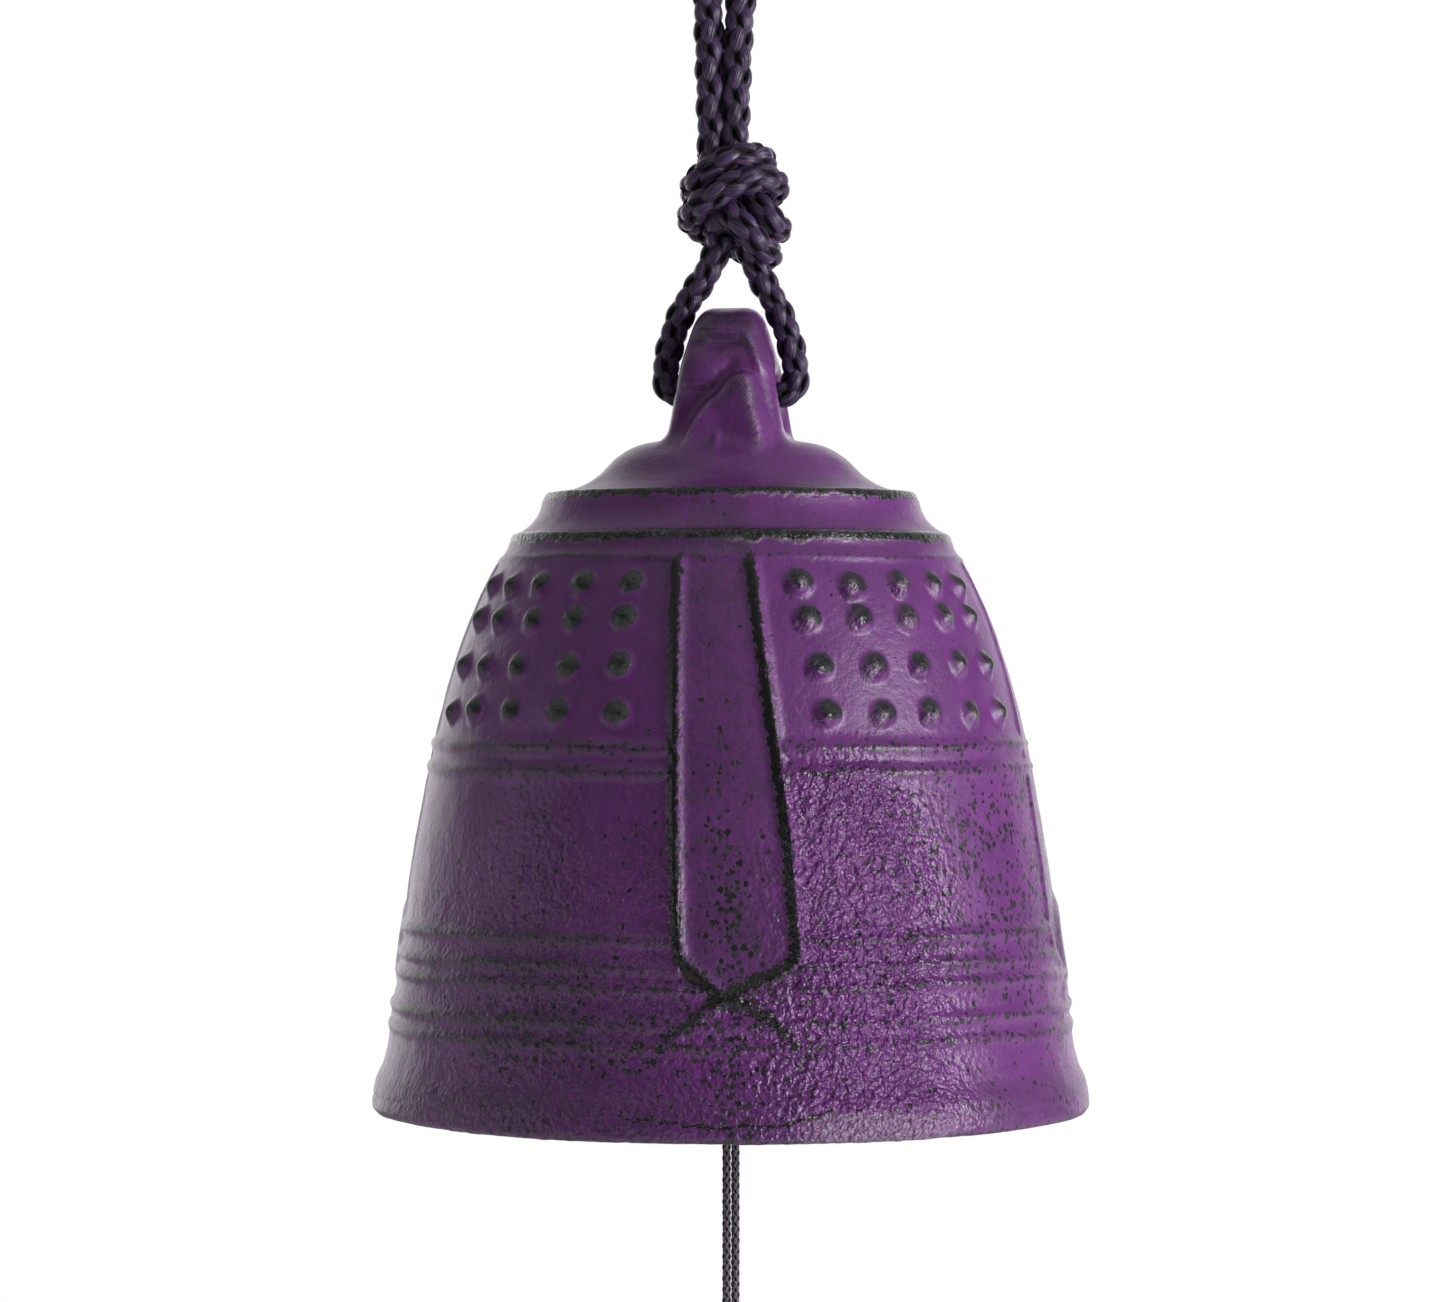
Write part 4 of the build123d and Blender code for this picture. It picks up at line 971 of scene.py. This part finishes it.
# Charcoal smudge and painted shade on the lug: darker on its upper part, on its left side and just below the fold;
# painted shade in the hollow under the brow and in a band just above the fold, at the foot of its step.
cap_smudge_and_shade = np.maximum.reduce([
    0.70 * smooth_step(61.0, 65.0, cap_h), 0.80 * np.exp(-((cap_h - 64.1) / 0.75) ** 2) * smooth_step(2.6, 1.8, cap_face),
    0.62 * np.exp(-((cap_side - 0.9) / 0.7) ** 2) * smooth_step(57.0, 60.0, cap_h), 0.5 * smooth_step(-2.0, -3.0, cap_face) * smooth_step(57, 62, cap_h),
    0.25 * np.exp(-((cap_side + 0.6) / 0.5) ** 2) * smooth_step(54.5, 56.5, cap_h) * smooth_step(1.0, 0.0, cap_face),
]) * (np.abs(cap_v) > 3)
# Painted highlights in the silver of filed iron: a line along the snout's ridge, a short glint on the brow ridge and a
# light line along the fold's raised edge.
cap_ridge_highlight = 0.75 * np.exp(-((cap_face - np.interp(cap_h, *SNOUT_RIDGE) + 0.1) / 0.42) ** 2) * smooth_step(54.0, 55.5, cap_h)
cap_ridge_highlight *= smooth_step(61.4, 60.6, cap_h)
cap_ridge_highlight += 0.6 * np.exp(-((cap_face - np.interp(cap_h, *BROW_RIDGE)) / 0.22) ** 2) * smooth_step(61.6, 62.4, cap_h) * smooth_step(64.8, 64.0, cap_h)
cap_ridge_highlight += 0.75 * np.exp(-((cap_side - 0.30) / 0.17) ** 2) * smooth_step(54.5, 56.0, cap_h) * smooth_step(1.5, 0.5, cap_face)
cap_ridge_highlight *= np.abs(cap_v) > 3
cap_uneven = 0.03 * lattice_noise(cap_points, 2.2, 31) + 0.05 * lattice_noise(cap_points, 5.0, 32)
cap_slope = np.stack([casting_field(cap_points + d) - casting_field(cap_points - d) for d in 0.02 * np.eye(3)], 1)
cap_slope /= np.maximum(np.linalg.norm(cap_slope, axis=1), 1e-9)[:, None]
cap_points = cap_points + cap_uneven[:, None] * cap_slope
cap_attributes = {
    "rub": 0.24 * smooth_step(64.0, 66.5, cap_h), "bare": np.zeros(len(cap_points)), "coarse": np.full(len(cap_points), 0.12),
    "speck": np.zeros(len(cap_points)), "filed_and_glint": np.clip(cap_ridge_highlight, 0, 1), "smudge_and_shade": cap_smudge_and_shade,
    "matt": smooth_step(1.0, 5.0, cap_points[:, 1]),
}
shell_kind = np.zeros(len(shell_faces), int)
inside_from = (len(hidden_rows) + len(outer_rows)) * COLUMNS
shell_kind[shell_faces.min(1) >= inside_from] = 1
bell_piece = make_piece(
    "bell_casting", join_parts((shell_points, shell_faces, shell_attributes), (cap_points, cap_faces, cap_attributes)),
    [PAINT, IRON], "bell", ["bell"], np.concatenate([shell_kind, np.zeros(len(cap_faces), int)]),
)

# Camera at the photograph's place
CAMERA_TURN, CAMERA_AWAY, CAMERA_HEIGHT, CAMERA_ASIDE = radians(3.0), 394.0, 38.35, -0.71
camera_data = bpy.data.cameras.new("camera")
camera_data.sensor_width = 36.0
camera_data.sensor_fit = "HORIZONTAL"
camera_data.lens = 117.0
camera_data.clip_start = 0.01
camera_data.clip_end = 20.0
camera = bpy.data.objects.new("camera", camera_data)
bpy.context.scene.collection.objects.link(camera)
camera.location = place(
    (
        CAMERA_AWAY * sin(CAMERA_TURN) + CAMERA_ASIDE * cos(CAMERA_TURN),
        -CAMERA_AWAY * cos(CAMERA_TURN) + CAMERA_ASIDE * sin(CAMERA_TURN),
        CAMERA_HEIGHT,
    )
)
camera.rotation_euler = (pi / 2, 0, CAMERA_TURN)
bpy.context.scene.camera = camera

# Studio: a white backdrop behind, a dim room in front, one soft lamp from the right and a weak one from the left
scene = bpy.context.scene
scene.view_settings.view_transform = "Standard"
world = bpy.data.worlds.new("studio")
scene.world = world
world.use_nodes = True
sky, sky_links = world.node_tree.nodes, world.node_tree.links
sky.clear()


def sky_node(kind, **settings):
    node = sky.new(kind)
    for key, value in settings.items():
        setattr(node, key, value)
    return node


rays = sky_node("ShaderNodeLightPath")
direction = sky_node("ShaderNodeSeparateXYZ")
sky_links.new(sky_node("ShaderNodeTexCoord").outputs["Generated"], direction.inputs[0])
behind = sky_node("ShaderNodeMapRange", interpolation_type="SMOOTHSTEP")
turned = sky_node("ShaderNodeVectorMath", operation="DOT_PRODUCT")
sky_links.new(direction.inputs[0].links[0].from_socket, turned.inputs[0])
turned.inputs[1].default_value = (-0.14, 0.990, 0)
sky_links.new(turned.outputs["Value"], behind.inputs["Value"])
for key, value in (("From Min", 0.54), ("From Max", 0.93), ("To Min", 0.0), ("To Max", 2.15)):
    behind.inputs[key].default_value = value
low = sky_node("ShaderNodeMapRange", interpolation_type="SMOOTHSTEP")
sky_links.new(direction.outputs["Z"], low.inputs["Value"])
for key, value in (("From Min", 0.15), ("From Max", 0.65), ("To Min", 1.0), ("To Max", 0.2)):
    low.inputs[key].default_value = value
room = sky_node("ShaderNodeMath", operation="MULTIPLY_ADD")
sky_links.new(behind.outputs["Result"], room.inputs[0])
sky_links.new(low.outputs["Result"], room.inputs[1])
above = sky_node("ShaderNodeMapRange", interpolation_type="SMOOTHSTEP")
sky_links.new(direction.outputs["Z"], above.inputs["Value"])
for key, value in (("From Min", 0.25), ("From Max", 0.95), ("To Min", 0.07), ("To Max", 0.5)):
    above.inputs[key].default_value = value
sky_links.new(above.outputs["Result"], room.inputs[2])
seen = sky_node("ShaderNodeMath", operation="MAXIMUM")
sky_links.new(rays.outputs["Is Camera Ray"], seen.inputs[0])
sky_links.new(rays.outputs["Is Transmission Ray"], seen.inputs[1])
level = sky_node("ShaderNodeMix", data_type="FLOAT")
sky_links.new(seen.outputs[0], level.inputs[0])
sky_links.new(room.outputs[0], level.inputs[2])
level.inputs[3].default_value = 1.0
backdrop = sky_node("ShaderNodeBackground")
sky_links.new(level.outputs[0], backdrop.inputs["Strength"])
backdrop.inputs["Color"].default_value = (1, 1, 1, 1)
sky_links.new(backdrop.outputs[0], sky_node("ShaderNodeOutputWorld").inputs["Surface"])


def soft_lamp(name, at, aim, width, height, power):
    data = bpy.data.lights.new(name, "AREA")
    data.shape = "RECTANGLE"
    data.size, data.size_y = width * MM, height * MM
    data.energy = power
    lamp = bpy.data.objects.new(name, data)
    scene.collection.objects.link(lamp)
    lamp.location = place(at)
    lamp.rotation_euler = (lamp.location - place_vector(aim)).to_track_quat("Z", "Y").to_euler()
    return lamp


def place_vector(point):
    from mathutils import Vector
    return Vector(place(point))


soft_lamp("key", (475, -212, 80), (0, 0, 30), 230, 320, 3.3)
soft_lamp("fill", (-510, -90, 60), (0, 0, 30), 300, 300, 0.27)

# Floor, below the strip: it takes the shadow near the object and is white to the camera further off
FLOOR_HALF, FLOOR_HEIGHT = 900.0, -152.0
f = Graph("floor")
f.shader.inputs["Base Color"].default_value = (0.9, 0.9, 0.9, 1)
f.shader.inputs["Roughness"].default_value = 0.9
away = f.add("ShaderNodeVectorMath", operation="LENGTH")
f.feed(away.inputs[0], f.position())
white = f.add("ShaderNodeEmission")
fade = f.math("MULTIPLY", f.ramp(away.outputs["Value"], 0.05, 0.30, 0.55, 1.0), f.add("ShaderNodeLightPath").outputs["Is Camera Ray"])
blend = f.add("ShaderNodeMixShader")
f.feed(blend.inputs[0], fade)
f.links.new(f.shader.outputs[0], blend.inputs[1])
f.links.new(white.outputs[0], blend.inputs[2])
one_sided = f.add("ShaderNodeMixShader")
f.feed(one_sided.inputs[0], f.add("ShaderNodeNewGeometry").outputs["Backfacing"])
f.links.new(blend.outputs[0], one_sided.inputs[1])
f.links.new(f.add("ShaderNodeBsdfTransparent").outputs[0], one_sided.inputs[2])
f.links.new(one_sided.outputs[0], f.nodes["Material Output"].inputs["Surface"])
floor_mesh = bpy.data.meshes.new("floor")
corners = [(-FLOOR_HALF, -FLOOR_HALF), (FLOOR_HALF, -FLOOR_HALF), (FLOOR_HALF, FLOOR_HALF), (-FLOOR_HALF, FLOOR_HALF)]
floor_mesh.from_pydata([(x * MM, y * MM, 0) for x, y in corners], [], [(0, 1, 2, 3)])
floor_mesh.materials.append(f.material)
floor = bpy.data.objects.new("floor", floor_mesh)
floor.location = place((0, 0, FLOOR_HEIGHT))
scene.collection.objects.link(floor)
